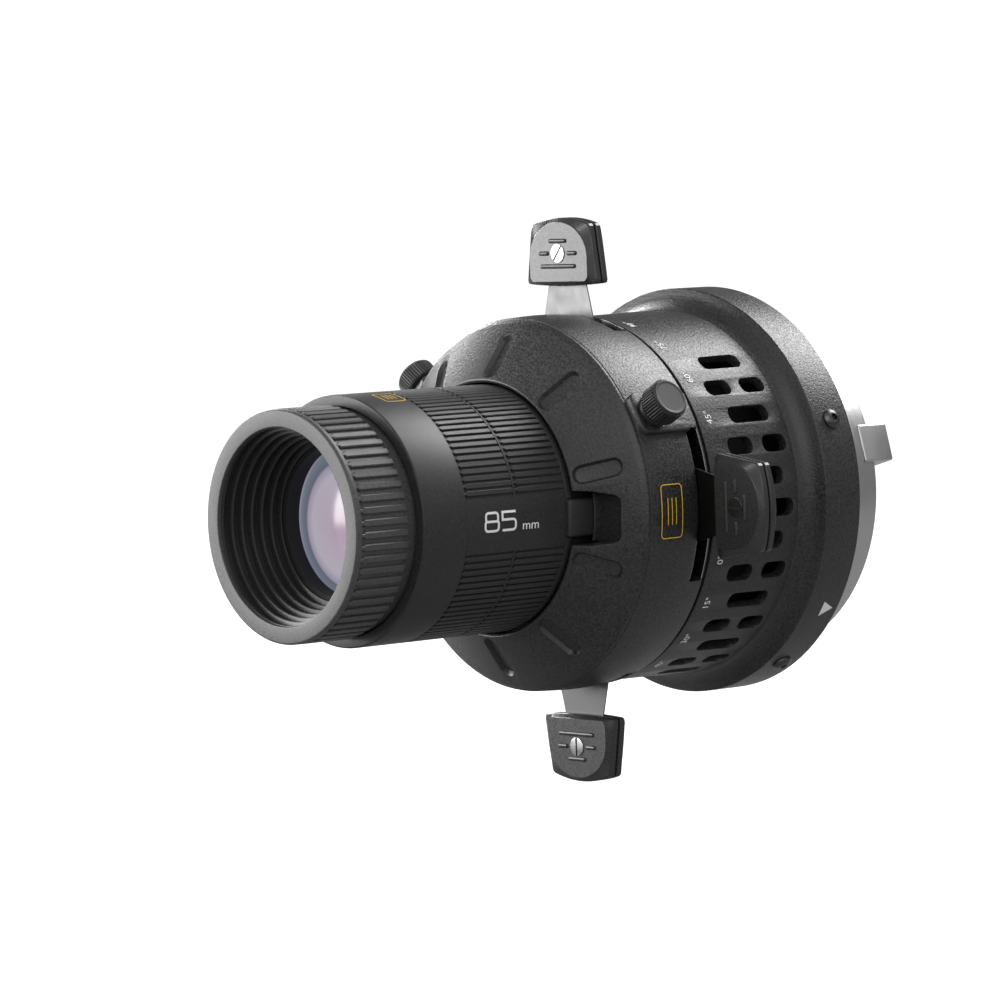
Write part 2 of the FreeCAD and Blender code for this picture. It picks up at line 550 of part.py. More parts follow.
def lens_group():
    """The focusing group: two elements, a spacer and a lock ring in a sliding cell."""
    keep(lathe("lens_cell", [
        ("GroupMouth", "GroupFront"), ("GroupShoulder", "GroupFront"), ("GroupRadius", "GroupShoulderRear"),
        ("GroupRadius", "GroupRear"), ("GroupBore", "GroupRear"), ("GroupBore", "GroupLipFoot"),
        ("GroupMouth", "GroupLipRear")]), "lens_cell")
    lens("front_lens", "ElementRadius", "FrontVertex", "FrontThick", "FrontCurve", "MeetingCurve")
    lens("rear_lens", "ElementRadius", "RearVertex", "RearThick", "MeetingCurve", "RearCurve")
    keep(lathe("lens_spacer", [
        ("SpacerBore", "SpacerFront + SpacerDish"), ("ElementRadius", "SpacerFront"),
        ("ElementRadius", "SpacerRear"), ("SpacerBore", "SpacerRear - SpacerDish")]), "lens_spacer")
    keep(lathe("lens_lock_ring", [
        ("LockBore", "LockFront + LockDish"), ("ElementRadius", "LockFront"),
        ("ElementRadius", "LockRear"), ("LockBore", "LockRear")]), "lens_lock_ring")


def blade(side, place):
    body = new_body("blade_" + side)
    plan = new_sketch(body, "blade_plan_" + side, square_plane(0, -SIZES["BladeHalfThick"]))
    half = [("BladeInner", "BladeHalfWidth"), ("BladeKnee", "BladeHalfWidth"),
            ("BladeShoulder", "BladeShoulderHalf"), ("BladeWaist", "BladeWaistHalf"), ("BladeTip", "BladeTipHalf")]
    mirrored = [(reach, "0 - " + width) for reach, width in reversed(half)]
    outline(plan, half + mirrored)
    pad(body, plan, "BladeHalfThick + BladeHalfThick")
    body.Placement = place
    keep(body, "blade_" + side)


def grip(label, front, place):
    """Half of a shutter's moulded grip: straight flanks between two arched edges."""
    body = new_body(label)
    plan = new_sketch(body, label + "_plan", square_plane(0, amount(front)))
    inner, outer = SIZES["GripInner"], SIZES["GripOuter"]
    wide, narrow = SIZES["GripHalfWidth"], SIZES["GripOuterHalf"]
    inner_rise = SIZES["GripInnerCurve"] - math.sqrt(SIZES["GripInnerCurve"] ** 2 - wide ** 2)
    outer_rise = SIZES["GripOuterCurve"] - math.sqrt(SIZES["GripOuterCurve"] ** 2 - narrow ** 2)
    corners = [FreeCAD.Vector(inner, wide, 0), FreeCAD.Vector(inner, -wide, 0),
               FreeCAD.Vector(outer, -narrow, 0), FreeCAD.Vector(outer, narrow, 0)]
    plan.addGeometry(Part.Arc(corners[0], FreeCAD.Vector(inner - inner_rise, 0, 0), corners[1]), False)
    plan.addGeometry(Part.LineSegment(corners[1], corners[2]), False)
    plan.addGeometry(Part.Arc(corners[2], FreeCAD.Vector(outer + outer_rise, 0, 0), corners[3]), False)
    plan.addGeometry(Part.LineSegment(corners[3], corners[0]), False)
    ends = [("GripInner", "0 - GripHalfWidth", 1, 1), ("GripOuter", "0 - GripOuterHalf", 1, 2),
            ("GripOuter", "GripOuterHalf", 3, 1), ("GripInner", "GripHalfWidth", 3, 2)]
    for reach, width, geometry, point in ends:
        fix(plan, "DistanceX", geometry, point, reach)
        fix(plan, "DistanceY", geometry, point, width)
    arc_ends = [end for arc in (0, 2) for end in ((arc, 1), (arc, 2))]
    for arc, end in arc_ends:
        spot = plan.getPoint(arc, end)
        line, tip = min(((g, p) for g in (1, 3) for p in (1, 2)),
                        key=lambda item: plan.getPoint(*item).distanceToPoint(spot))
        plan.addConstraint(Sketcher.Constraint("Coincident", arc, end, line, tip))
    fix_radius(plan, 0, "GripInnerCurve")
    fix_radius(plan, 2, "GripOuterCurve")
    solid = pad(body, plan, "GripThick")
    document.recompute()
    upright = ["Edge%d" % number for number, edge in enumerate(solid.Shape.Edges, start=1)
               if abs(edge.Vertexes[0].Y - edge.Vertexes[-1].Y) > SIZES["GripThick"] / 2]
    rounding = body.newObject("PartDesign::Fillet", label + "_corners")
    rounding.Base = (solid, upright)
    rounding.setExpression("Radius", bound("GripCorner"))
    body.Placement = place
    return body


def shutters():
    """Four blades in stacked planes, each with a brake pad, two grip halves and a screw."""
    for number, (side, angle) in enumerate(SHUTTERS.items()):
        plane = SIZES["BladePlane"] + number * SIZES["BladeStep"]
        place = around_axis(angle + SHUTTER_CLOCK) * FreeCAD.Placement(Y_AXIS * plane, FreeCAD.Rotation())
        blade(side, place)
        disc = rod("brake_pad_" + side, "PadRadius", "0 - PadFront", "0 - PadRear", "PadReach")
        disc.Placement = place * disc.Placement
        keep(disc, "brake_pad_" + side)
        screw_front = "0 - BladeHalfThick - GripThick - GripScrewHeight"
        hole = rod("grip_hole_" + side, "GripScrewShank + RunningGap", "0 - BladeHalfThick - GripThick - 1",
                   "GripThick", "GripScrewReach")
        hole.Placement = place * hole.Placement
        for half, front in (("front", "0 - BladeHalfThick - GripThick"), ("rear", "BladeHalfThick")):
            label = "grip_%s_%s" % (half, side)
            shell = grip(label + "_shell", front, place)
            keep(cut(label, shell, hole), label)
        head = rod("grip_screw_head_" + side, "GripScrewHead", screw_front,
                   "0 - BladeHalfThick - GripThick", "GripScrewReach")
        shank = rod("grip_screw_shank_" + side, "GripScrewShank", "0 - BladeHalfThick - GripThick",
                    "0 - BladeHalfThick", "GripScrewReach")
        screw = fuse("grip_screw_" + side, [head, shank])
        screw.Placement = place
        keep(screw, "grip_screw_" + side)


mount_ring()
rim()
vented_barrel()
condenser()
shutter_housing()
clamps()
gate()
front_cover()
lens_barrel()
focusing_ring()
lens_group()
shutters()
document.recompute()

for item in document.Objects:
    if "Invalid" in item.State or "Error" in item.State:
        raise RuntimeError("failed feature: " + item.Label)
os.makedirs("parts", exist_ok=True)
for part in subparts:
    if part.Shape.isNull() or not part.Shape.isValid():
        raise RuntimeError("bad shape: " + part.Label)
for part in subparts:
    part.Shape.exportStep("parts/%s.step" % part.Label)
    print("%-26s %10.1f mm3" % (part.Label, part.Shape.Volume))
print(len(subparts), "sub-parts")
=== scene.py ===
"""Visible pieces of an ellipsoidal spotlight attachment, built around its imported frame.

The optical axis is Y with the lens at -Y, +Z is up, and an angle about the axis is counted from
+X towards +Z. Everything is in metres; MM turns millimetres into metres.
"""

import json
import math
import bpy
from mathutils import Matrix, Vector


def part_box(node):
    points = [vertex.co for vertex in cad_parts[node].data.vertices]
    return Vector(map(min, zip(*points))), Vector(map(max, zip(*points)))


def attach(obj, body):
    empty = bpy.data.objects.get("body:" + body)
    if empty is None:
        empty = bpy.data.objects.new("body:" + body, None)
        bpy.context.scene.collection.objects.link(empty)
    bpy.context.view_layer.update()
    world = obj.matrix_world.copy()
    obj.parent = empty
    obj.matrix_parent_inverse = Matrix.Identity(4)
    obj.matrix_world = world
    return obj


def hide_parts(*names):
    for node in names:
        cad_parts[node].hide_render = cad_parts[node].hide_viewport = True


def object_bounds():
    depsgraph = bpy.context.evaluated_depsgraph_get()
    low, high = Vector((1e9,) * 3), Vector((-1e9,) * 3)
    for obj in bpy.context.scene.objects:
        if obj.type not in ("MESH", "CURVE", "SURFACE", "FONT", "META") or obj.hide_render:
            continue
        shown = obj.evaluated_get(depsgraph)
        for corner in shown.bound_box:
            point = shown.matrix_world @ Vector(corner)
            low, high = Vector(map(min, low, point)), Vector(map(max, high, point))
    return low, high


bl_info = {
    "name": "Framing Spotlight",
    "version": (1, 0, 0),
    "blender": (4, 5, 0),
    "location": "View3D > Sidebar > Spotlight",
    "description": "Builds the lens tube, cover, shutters and barrel of a framing spotlight",
    "category": "Add Mesh",
}

import bmesh
import bpy
from bpy.props import FloatProperty, FloatVectorProperty, IntProperty, PointerProperty
from mathutils import Matrix, Vector

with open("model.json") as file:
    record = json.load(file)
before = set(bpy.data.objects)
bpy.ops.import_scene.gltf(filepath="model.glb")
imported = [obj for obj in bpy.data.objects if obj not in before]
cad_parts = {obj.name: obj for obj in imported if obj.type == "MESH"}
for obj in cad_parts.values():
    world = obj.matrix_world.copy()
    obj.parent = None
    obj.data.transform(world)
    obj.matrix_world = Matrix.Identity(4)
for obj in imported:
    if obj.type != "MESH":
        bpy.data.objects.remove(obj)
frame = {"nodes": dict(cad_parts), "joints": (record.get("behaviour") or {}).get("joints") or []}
CAD_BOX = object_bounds()

MM = 0.001
SMOOTH = 288
SIDES = ("right", "left", "top", "bottom")
CLAMP_SIDES = ("right", "left")
SLOT_LEAN = {"right": math.radians(90), "left": math.radians(20), "top": math.radians(52),
             "bottom": math.radians(90)}
JOINTS = {joint["name"]: joint for joint in frame["joints"]}


def front(node):
    """A node's lowest station along the optical axis."""
    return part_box(node)[0].y


def rear(node):
    """A node's highest station along the optical axis."""
    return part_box(node)[1].y


def reach(node):
    """A turned node's outer radius."""
    low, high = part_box(node)
    return (high.x - low.x) / 2


def angle_of(direction):
    """The angle about the optical axis of a radial direction."""
    return math.atan2(direction[2], direction[0])


# ---------------------------------------------------------------- settings


def length(name, description, default):
    """A length that a user can set."""
    return FloatProperty(name=name, description=description, default=default, unit="LENGTH", precision=5)


def turn(name, description, degrees):
    """An angle that a user can set, its default in degrees."""
    return FloatProperty(name=name, description=description, default=math.radians(degrees), subtype="ANGLE")


def colour(name, description, default):
    """A finish's colour that a user can set."""
    return FloatVectorProperty(name=name, description=description, default=default, subtype="COLOR",
                               size=3, min=0, max=1)


class FocusSettings(bpy.types.PropertyGroup):
    """Sizes of the focusing ring and its hood."""
    flutes: IntProperty(name="Flutes", description="Grip bars round the ring", default=60)
    flute_width: length("Flute width", "Width of a grip bar", 2.5 * MM)
    flute_height: length("Flute height", "How far a grip bar stands above the groove floor", 1.0 * MM)
    band: length("Front band", "Plain band in front of the grip bars", 2.3 * MM)
    baffles: IntProperty(name="Baffles", description="Light-trapping ridges in the hood", default=6)
    baffle_depth: length("Baffle depth", "Depth of the grooves between the ridges", 1.4 * MM)
    baffle_width: length("Baffle width", "Width of a ridge's crest", 1.0 * MM)


class TubeSettings(bpy.types.PropertyGroup):
    """Sizes of the ribbed lens tube."""
    ribs: IntProperty(name="Ribs", description="Ribs round one band", default=98)
    rib_height: length("Rib height", "Height of a rib above the groove floor", 0.8 * MM)
    rib_width: length("Rib width", "Width of a rib", 1.85 * MM)
    plain: length("Plain length", "Smooth band behind the tube's mouth", 20.0 * MM)
    ribbed: length("Ribbed length", "Length of both rib bands together", 47.2 * MM)
    divider: length("Divider", "Width of the plain ring between the bands", 1.1 * MM)
    pad_angle: turn("Pad angle", "Half the angle that the flat label pad covers", 12.6)


class CoverSettings(bpy.types.PropertyGroup):
    """Sizes of the conical cover's recesses and its well."""
    recesses: IntProperty(name="Recesses", description="Radial recesses in the cover", default=10)
    recess_width: length("Recess width", "Width of a recess", 7.0 * MM)
    recess_depth: length("Recess depth", "Depth of a recess", 1.6 * MM)
    recess_slope: length("Recess slope", "How far a recess's wall leans in towards its floor", 0.9 * MM)
    well_width: length("Well width", "Width of the well around the release button", 19.4 * MM)


class BarrelSettings(bpy.types.PropertyGroup):
    """Sizes of the vented barrel's slots."""
    slot_width: length("Slot width", "Width of a vent slot", 6.5 * MM)
    slot_corner: length("Slot corner", "Corner radius of a vent slot", 2.7 * MM)
    slot_pitch: turn("Slot pitch", "Angle between two like slots", 20)


class ClampSettings(bpy.types.PropertyGroup):
    """Sizes of the knurled clamp knobs."""
    knurls: IntProperty(name="Knurls", description="Knurl bars round a knob", default=44)
    knurl_height: length("Knurl height", "Height of a knurl bar", 0.45 * MM)


class GripSettings(bpy.types.PropertyGroup):
    """Sizes of the moulded shutter grips."""
    bar: length("Bar", "Width of the raised bars", 1.7 * MM)
    bar_height: length("Bar height", "Height of the raised bars", 0.65 * MM)


class PaintSettings(bpy.types.PropertyGroup):
    """Colours of the finishes."""
    textured: colour("Textured black", "Wrinkle paint of the housing and barrel", (0.020, 0.020, 0.020))
    satin: colour("Satin black", "Anodised lens tube and focusing ring", (0.022, 0.022, 0.022))
    ring: colour("Ring black", "Matte focusing ring", (0.055, 0.055, 0.055))
    moulded: colour("Moulded black", "Plastic grips", (0.028, 0.028, 0.028))
    steel: colour("Shutter steel", "Bright shutter blades", (0.105, 0.105, 0.105))
    silver: colour("Bayonet silver", "Machined mount ring", (0.50, 0.50, 0.50))
    marking: colour("Marking white", "Printed scale and lettering", (0.80, 0.80, 0.79))
    accent: colour("Marking yellow", "Printed accent frames", (0.72, 0.47, 0.05))
    coating: colour("Lens coating", "Tint of the front element's coating", (0.62, 0.52, 0.70))


class StageSettings(bpy.types.PropertyGroup):
    """Camera, floor and lights."""
    azimuth: turn("Azimuth", "Camera's angle round the object", 48)
    elevation: turn("Elevation", "Camera's height angle", 5.8)
    distance: length("Distance", "Camera's distance from the origin", 1.9)
    shift_right: length("Shift right", "How far the camera stands to its right", -0.0809)
    shift_up: length("Shift up", "How far the camera stands up", -0.0048)
    focal: FloatProperty(name="Focal length", description="Camera lens in millimetres", default=183.06)
    near_light: FloatProperty(name="Near surround", description="Brightness on the near side", default=0.90)
    far_light: FloatProperty(name="Far surround", description="Brightness behind the object", default=0.12)
    floor_glow: FloatProperty(name="Floor glow", description="Brightness of the pale floor", default=0.97)


def settings(name):
    """One group of the scene's settings."""
    return getattr(bpy.context.scene, "spotlight_" + name)


# ---------------------------------------------------------------- meshes


def turned(radius, station, angle):
    """A point from its radius, station and angle about the optical axis."""
    return Vector((radius * math.cos(angle), station, radius * math.sin(angle)))


def outward(angle, station=0.0, distance=0.0):
    """A matrix that turns +X outwards to an angle and moves by a station and a distance."""
    return (Matrix.Rotation(-angle, 4, "Y") @ Matrix.Translation((distance, station, 0)))


def upright(angle, station=0.0):
    """A matrix that stands a piece turned about Y on the barrel, its Y axis pointing outwards."""
    return outward(angle, station) @ Matrix.Rotation(-math.pi / 2, 4, "Z")


def soften(corners, rounding, closed=True, steps=4):
    """Replace the corners of an outline by short arcs; a corner's third number is its own rounding."""
    points = []
    for index, corner in enumerate(corners):
        here = Vector(corner[:2])
        if not closed and index in (0, len(corners) - 1):
            points.append(here)
            continue
        before = Vector(corners[index - 1][:2]) - here
        after = Vector(corners[(index + 1) % len(corners)][:2]) - here
        size = corner[2] if len(corner) > 2 else rounding
        size = min(size, 0.45 * before.length, 0.45 * after.length)
        if size < 1e-6:
            points.append(here)
            continue
        start = here + before.normalized() * size
        end = here + after.normalized() * size
        for step in range(steps + 1):
            share = step / steps
            points.append(start.lerp(here, share).lerp(here.lerp(end, share), share))
    return points


def lathe(corners, rounding=0.3 * MM, segments=SMOOTH, closed=True, sweep=None):
    """A mesh turned about Y from (radius, station) corners, whole or over a (from, to) sweep."""
    mesh = bmesh.new()
    outline = soften(corners, rounding, closed)
    whole = sweep is None
    low, high = (0.0, 2 * math.pi) if whole else sweep
    stops = segments if whole else segments + 1
    rings = []
    for spot in outline:
        if spot.x < 1e-7:
            rings.append([mesh.verts.new((0, spot.y, 0))] * stops)
        else:
            rings.append([mesh.verts.new(turned(spot.x, spot.y, low + (high - low) * k / segments))
                          for k in range(stops)])
    pairs = list(zip(rings, rings[1:] + rings[:1])) if closed else list(zip(rings, rings[1:]))
    for this, following in pairs:
        for k in range(segments):
            n = (k + 1) % stops
            quad = [this[k], this[n], following[n], following[k]]
            unique = list(dict.fromkeys(quad))
            if len(unique) > 2:
                mesh.faces.new(unique)
    if not whole:
        mesh.faces.new([ring[0] for ring in rings])
        mesh.faces.new([ring[-1] for ring in reversed(rings)])
    bmesh.ops.recalc_face_normals(mesh, faces=mesh.faces)
    return mesh


def slab(outline, low, high, chamfer=0.0, steps=1):
    """A plate in the YZ plane from (along, across) points, from x low to x high, its top edge chamfered."""
    levels = [(low, outline)]
    if chamfer:
        for step in range(steps + 1):
            lean = math.pi / 2 * step / steps
            inset = chamfer * (1 - math.cos(lean))
            height = high - chamfer * (1 - math.sin(lean))
            levels.append((height, shrink(outline, inset) if inset else outline))
    else:
        levels.append((high, outline))
    return stack(levels)


def stack(levels):
    """A closed mesh through (height, outline) levels, whose outlines all have as many points."""
    mesh = bmesh.new()
    rings = []
    for height, points in levels:
        rings.append([mesh.verts.new((height, along, across)) for along, across in points])
    for this, following in zip(rings, rings[1:]):
        for k in range(len(this)):
            n = (k + 1) % len(this)
            mesh.faces.new([this[k], this[n], following[n], following[k]])
    mesh.faces.new(rings[0])
    mesh.faces.new(rings[-1])
    bmesh.ops.recalc_face_normals(mesh, faces=mesh.faces)
    return mesh


def shrink(outline, inset):
    """Move every point of a closed outline inwards by an even distance."""
    points = [Vector(point) for point in outline]
    area = sum(a.x * b.y - b.x * a.y for a, b in zip(points, points[1:] + points[:1]))
    side = 1 if area > 0 else -1
    moved = []
    for index, here in enumerate(points):
        before = (here - points[index - 1]).normalized()
        after = (points[(index + 1) % len(points)] - here).normalized()
        normal_a = Vector((-before.y, before.x)) * side
        normal_b = Vector((-after.y, after.x)) * side
        middle = normal_a + normal_b
        scale = 2 / max(middle.length_squared, 0.5)
        moved.append(here + middle * inset * scale)
    return moved


def rounded_box_outline(along, across, corner, steps=5):
    """A rounded rectangle centred on the origin, as (along, across) points."""
    points = []
    corners = ((1, 1, 0), (-1, 1, 90), (-1, -1, 180), (1, -1, 270))
    for sign_along, sign_across, start in corners:
        centre = Vector((sign_along * (along / 2 - corner), sign_across * (across / 2 - corner)))
        for step in range(steps + 1):
            lean = math.radians(start + 90 * step / steps)
            points.append(centre + Vector((math.cos(lean), math.sin(lean))) * corner)
    return points


def block(size, corner, steps=3):
    """A box with rounded edges, centred on the origin."""
    mesh = bmesh.new()
    bmesh.ops.create_cube(mesh, size=1.0)
    bmesh.ops.scale(mesh, vec=size, verts=mesh.verts)
    bmesh.ops.bevel(mesh, geom=mesh.edges[:], offset=corner, segments=steps, profile=0.5, affect="EDGES")
    return mesh


def as_object(mesh, name, matrix=None, smooth_angle=35):
    """Turn a bmesh into a linked object whose place is in its mesh."""
    if matrix is not None:
        mesh.transform(matrix)
    data = bpy.data.meshes.new(name)
    mesh.to_mesh(data)
    mesh.free()
    piece = bpy.data.objects.new(name, data)
    bpy.context.scene.collection.objects.link(piece)
    shade(piece, smooth_angle)
    return piece


def shade(piece, smooth_angle=35):
    """Smooth a piece, with the edges past an angle in degrees kept sharp."""
    piece.data.shade_smooth()
    piece.data.set_sharp_from_angle(angle=math.radians(smooth_angle))


def settle(piece):
    """Turn an object's modifiers into a plain mesh."""
    bpy.context.view_layer.update()
    graph = bpy.context.evaluated_depsgraph_get()
    made = bpy.data.meshes.new_from_object(piece.evaluated_get(graph))
    piece.modifiers.clear()
    old = piece.data
    piece.data = made
    bpy.data.meshes.remove(old)
    return piece


def carve(piece, tool, operation="DIFFERENCE"):
    """Cut a tool out of a piece, or join it on, and delete the tool."""
    modifier = piece.modifiers.new("carve", "BOOLEAN")
    modifier.operation = operation
    modifier.solver = "EXACT"
    modifier.object = tool
    settle(piece)
    bpy.data.objects.remove(tool)
    return piece


def break_edges(piece, width, segments=2, limit=38):
    """Round the sharp edges of a piece."""
    modifier = piece.modifiers.new("edges", "BEVEL")
    modifier.width = width
    modifier.segments = segments
    modifier.limit_method = "ANGLE"
    modifier.angle_limit = math.radians(limit)
    modifier.miter_outer = "MITER_ARC"
    modifier.harden_normals = False
    settle(piece)
    shade(piece)
    return piece


def place(piece, body, slot, finish, *nodes):
    """Give a piece its finish and body, and let it stand for CAD nodes, which are hidden."""
    piece.data.materials.clear()
    piece.data.materials.append(finish)
    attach(piece, body)
    if nodes:
        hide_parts(*nodes)
    return piece


# ---------------------------------------------------------------- geometry nodes


def socket_id(tree, name):
    """The identifier of a node tree's input, which a modifier's value is set by."""
    return next(item.identifier for item in tree.interface.items_tree
                if item.item_type == "SOCKET" and item.in_out == "INPUT" and item.name == name)


def turned_copies_tree():
    """Copies of a mesh turned about Y by an even step, as one realized mesh."""
    tree = bpy.data.node_groups.get("Turned Copies")
    if tree:
        return tree
    tree = bpy.data.node_groups.new("Turned Copies", "GeometryNodeTree")
    for name, kind in (("Geometry", "NodeSocketGeometry"), ("Count", "NodeSocketInt"),
                       ("Start Angle", "NodeSocketFloat"), ("Step Angle", "NodeSocketFloat"),
                       ("Finish", "NodeSocketMaterial")):
        tree.interface.new_socket(name, in_out="INPUT", socket_type=kind)
    tree.interface.new_socket("Geometry", in_out="OUTPUT", socket_type="NodeSocketGeometry")
    given, result, index, angle, flip, spin, rotation, points, instances, realize, paint = (
        tree.nodes.new(kind) for kind in (
            "NodeGroupInput", "NodeGroupOutput", "GeometryNodeInputIndex", "ShaderNodeMath", "ShaderNodeMath",
            "ShaderNodeCombineXYZ", "FunctionNodeEulerToRotation", "GeometryNodePoints",
            "GeometryNodeInstanceOnPoints", "GeometryNodeRealizeInstances", "GeometryNodeSetMaterial"))
    angle.operation = "MULTIPLY_ADD"
    flip.operation = "MULTIPLY"
    flip.inputs[1].default_value = -1.0
    for source, output, target, entry in (
            (index, 0, angle, 0), (given, "Step Angle", angle, 1), (given, "Start Angle", angle, 2),
            (angle, 0, flip, 0), (flip, 0, spin, "Y"), (spin, 0, rotation, 0),
            (given, "Count", points, "Count"), (points, 0, instances, "Points"),
            (given, "Geometry", instances, "Instance"),
            (rotation, 0, instances, "Rotation"), (instances, 0, realize, 0), (realize, 0, paint, "Geometry"),
            (given, "Finish", paint, "Material"), (paint, 0, result, 0)):
        tree.links.new(source.outputs[output], target.inputs[entry])
    return tree


def repeat(piece, count, start, step, finish=None):
    """Replace a piece by copies of it turned about the Y axis."""
    tree = turned_copies_tree()
    modifier = piece.modifiers.new("copies", "NODES")
    modifier.node_group = tree
    for name, value in (("Count", count), ("Start Angle", start), ("Step Angle", step), ("Finish", finish)):
        modifier[socket_id(tree, name)] = value
    return settle(piece)


def bar(start, end, width, foot, top, chamfer, nose, nose_width):
    """A rib along Y at angle zero, its first stretch narrowed to open the groove beside it."""
    half = width / 2
    thin = nose_width / 2
    flank = [(start, thin), (start + nose, thin), (start + 1.3 * nose, half), (end, half)]
    outline = [(along, -across) for along, across in flank] + flank[::-1]
    return slab(outline, foot, top, chamfer)


# ---------------------------------------------------------------- finishes


def feed(tree, entry, value):
    """Set a node's input to a number, or link it to another node's output."""
    if isinstance(value, bpy.types.NodeSocket):
        tree.links.new(value, entry)
    else:
        entry.default_value = value


def added(tree, first, second):
    """The sum of two values, each a number or a socket."""
    total = tree.nodes.new("ShaderNodeMath")
    total.operation = "ADD"
    feed(tree, total.inputs[0], first)
    feed(tree, total.inputs[1], second)
    return total.outputs[0]


def ranged(tree, value, low, high, start, end):
    """Map a value from one range to another; the target ends may be sockets."""
    spread = tree.nodes.new("ShaderNodeMapRange")
    for label, given in (("Value", value), ("From Min", low), ("From Max", high), ("To Min", start),
                         ("To Max", end)):
        feed(tree, spread.inputs[label], given)
    return spread.outputs[0]


def noise(tree, scale, detail, stretch=None):
    """A noise texture in object space, its scale a number or a socket."""
    source = tree.nodes.new("ShaderNodeTexCoord").outputs["Object"]
    if stretch:
        mapping = tree.nodes.new("ShaderNodeMapping")
        mapping.inputs["Scale"].default_value = stretch
        tree.links.new(source, mapping.inputs["Vector"])
        source = mapping.outputs[0]
    texture = tree.nodes.new("ShaderNodeTexNoise")
    texture.inputs["Detail"].default_value = detail
    tree.links.new(source, texture.inputs["Vector"])
    feed(tree, texture.inputs["Scale"], scale)
    return texture.outputs["Fac"]


def new_group(name, inputs, outputs):
    """A shader node group with its input and output nodes, all its sockets plain values."""
    tree = bpy.data.node_groups.new(name, "ShaderNodeTree")
    for label, value in inputs:
        entry = tree.interface.new_socket(label, in_out="INPUT", socket_type="NodeSocketFloat")
        entry.default_value = value
    for label in outputs:
        tree.interface.new_socket(label, in_out="OUTPUT", socket_type="NodeSocketFloat")
    return tree, tree.nodes.new("NodeGroupInput"), tree.nodes.new("NodeGroupOutput")


def paint_grain_group():
    """Pebbled paint: a height for the bump, a faint tone change and a change of gloss."""
    tree = bpy.data.node_groups.get("Paint Grain")
    if tree:
        return tree
    tree, given, result = new_group("Paint Grain", (("Grain Scale", 900.0), ("Blotch Scale", 14.0)),
                                    ("Height", "Tone", "Gloss"))
    pebbles = noise(tree, given.outputs["Grain Scale"], 2.0)
    blotches = noise(tree, given.outputs["Blotch Scale"], 4.0)
    gloss = added(tree, ranged(tree, blotches, 0.3, 0.7, -0.035, 0.035),
                  ranged(tree, pebbles, 0.35, 0.7, -0.10, 0.10))
    tree.links.new(ranged(tree, pebbles, 0.3, 0.7, 0.0, 1.0), result.inputs["Height"])
    tree.links.new(ranged(tree, pebbles, 0.35, 0.7, 0.5, 1.8), result.inputs["Tone"])
    tree.links.new(gloss, result.inputs["Gloss"])
    return tree


def brushed_group():
    """Fine machining or brushing lines stretched along one direction."""
    tree = bpy.data.node_groups.get("Brushed Lines")
    if tree:
        return tree
    tree, given, result = new_group("Brushed Lines", (("Line Scale", 60.0),), ("Height", "Gloss"))
    lines = noise(tree, given.outputs["Line Scale"], 6.0, stretch=(4.0, 60.0, 4.0))
    tree.links.new(ranged(tree, lines, 0.3, 0.7, 0.0, 1.0), result.inputs["Height"])
    tree.links.new(ranged(tree, lines, 0.3, 0.7, -0.06, 0.06), result.inputs["Gloss"])
    return tree


def new_finish(name, base, roughness, metallic=0.0):
    """A material with a Principled BSDF, its tree and that shader."""
    finish = bpy.data.materials.new(name)
    finish.use_nodes = True
    shader = finish.node_tree.nodes["Principled BSDF"]
    shader.inputs["Base Color"].default_value = (*base, 1.0)
    shader.inputs["Roughness"].default_value = roughness
    shader.inputs["Metallic"].default_value = metallic
    return finish, finish.node_tree, shader


def add_group(tree, group, **inputs):
    """Place a node group in a material with its own values."""
    holder = tree.nodes.new("ShaderNodeGroup")
    holder.node_tree = group
    for label, value in inputs.items():
        holder.inputs[label.replace("_", " ")].default_value = value
    return holder


def roughen(tree, shader, group, roughness, depth):
    """Lead a group's height to the bump and its gloss to the roughness."""
    bump = tree.nodes.new("ShaderNodeBump")
    bump.inputs["Distance"].default_value = depth
    tree.links.new(group.outputs["Height"], bump.inputs["Height"])
    tree.links.new(bump.outputs[0], shader.inputs["Normal"])
    tree.links.new(added(tree, group.outputs["Gloss"], roughness), shader.inputs["Roughness"])


def painted(name, base, roughness, grain_scale, bump_depth, tone=True, gloss=0.5):
    """Paint, anodising or plastic with a fine pebbled surface."""
    finish, tree, shader = new_finish(name, base, roughness)
    shader.inputs["Specular IOR Level"].default_value = gloss
    grain = add_group(tree, paint_grain_group(), Grain_Scale=grain_scale)
    roughen(tree, shader, grain, roughness, bump_depth)
    if tone:
        mix = tree.nodes.new("ShaderNodeMix")
        mix.data_type = "RGBA"
        mix.blend_type = "MULTIPLY"
        mix.inputs["Factor"].default_value = 1.0
        mix.inputs["A"].default_value = (*base, 1.0)
        tree.links.new(grain.outputs["Tone"], mix.inputs["B"])
        tree.links.new(mix.outputs["Result"], shader.inputs["Base Color"])
    return finish


def machined(name, base, roughness, line_scale, bump_depth):
    """Bare metal with fine machining lines."""
    finish, tree, shader = new_finish(name, base, roughness, metallic=1.0)
    roughen(tree, shader, add_group(tree, brushed_group(), Line_Scale=line_scale), roughness, bump_depth)
    return finish


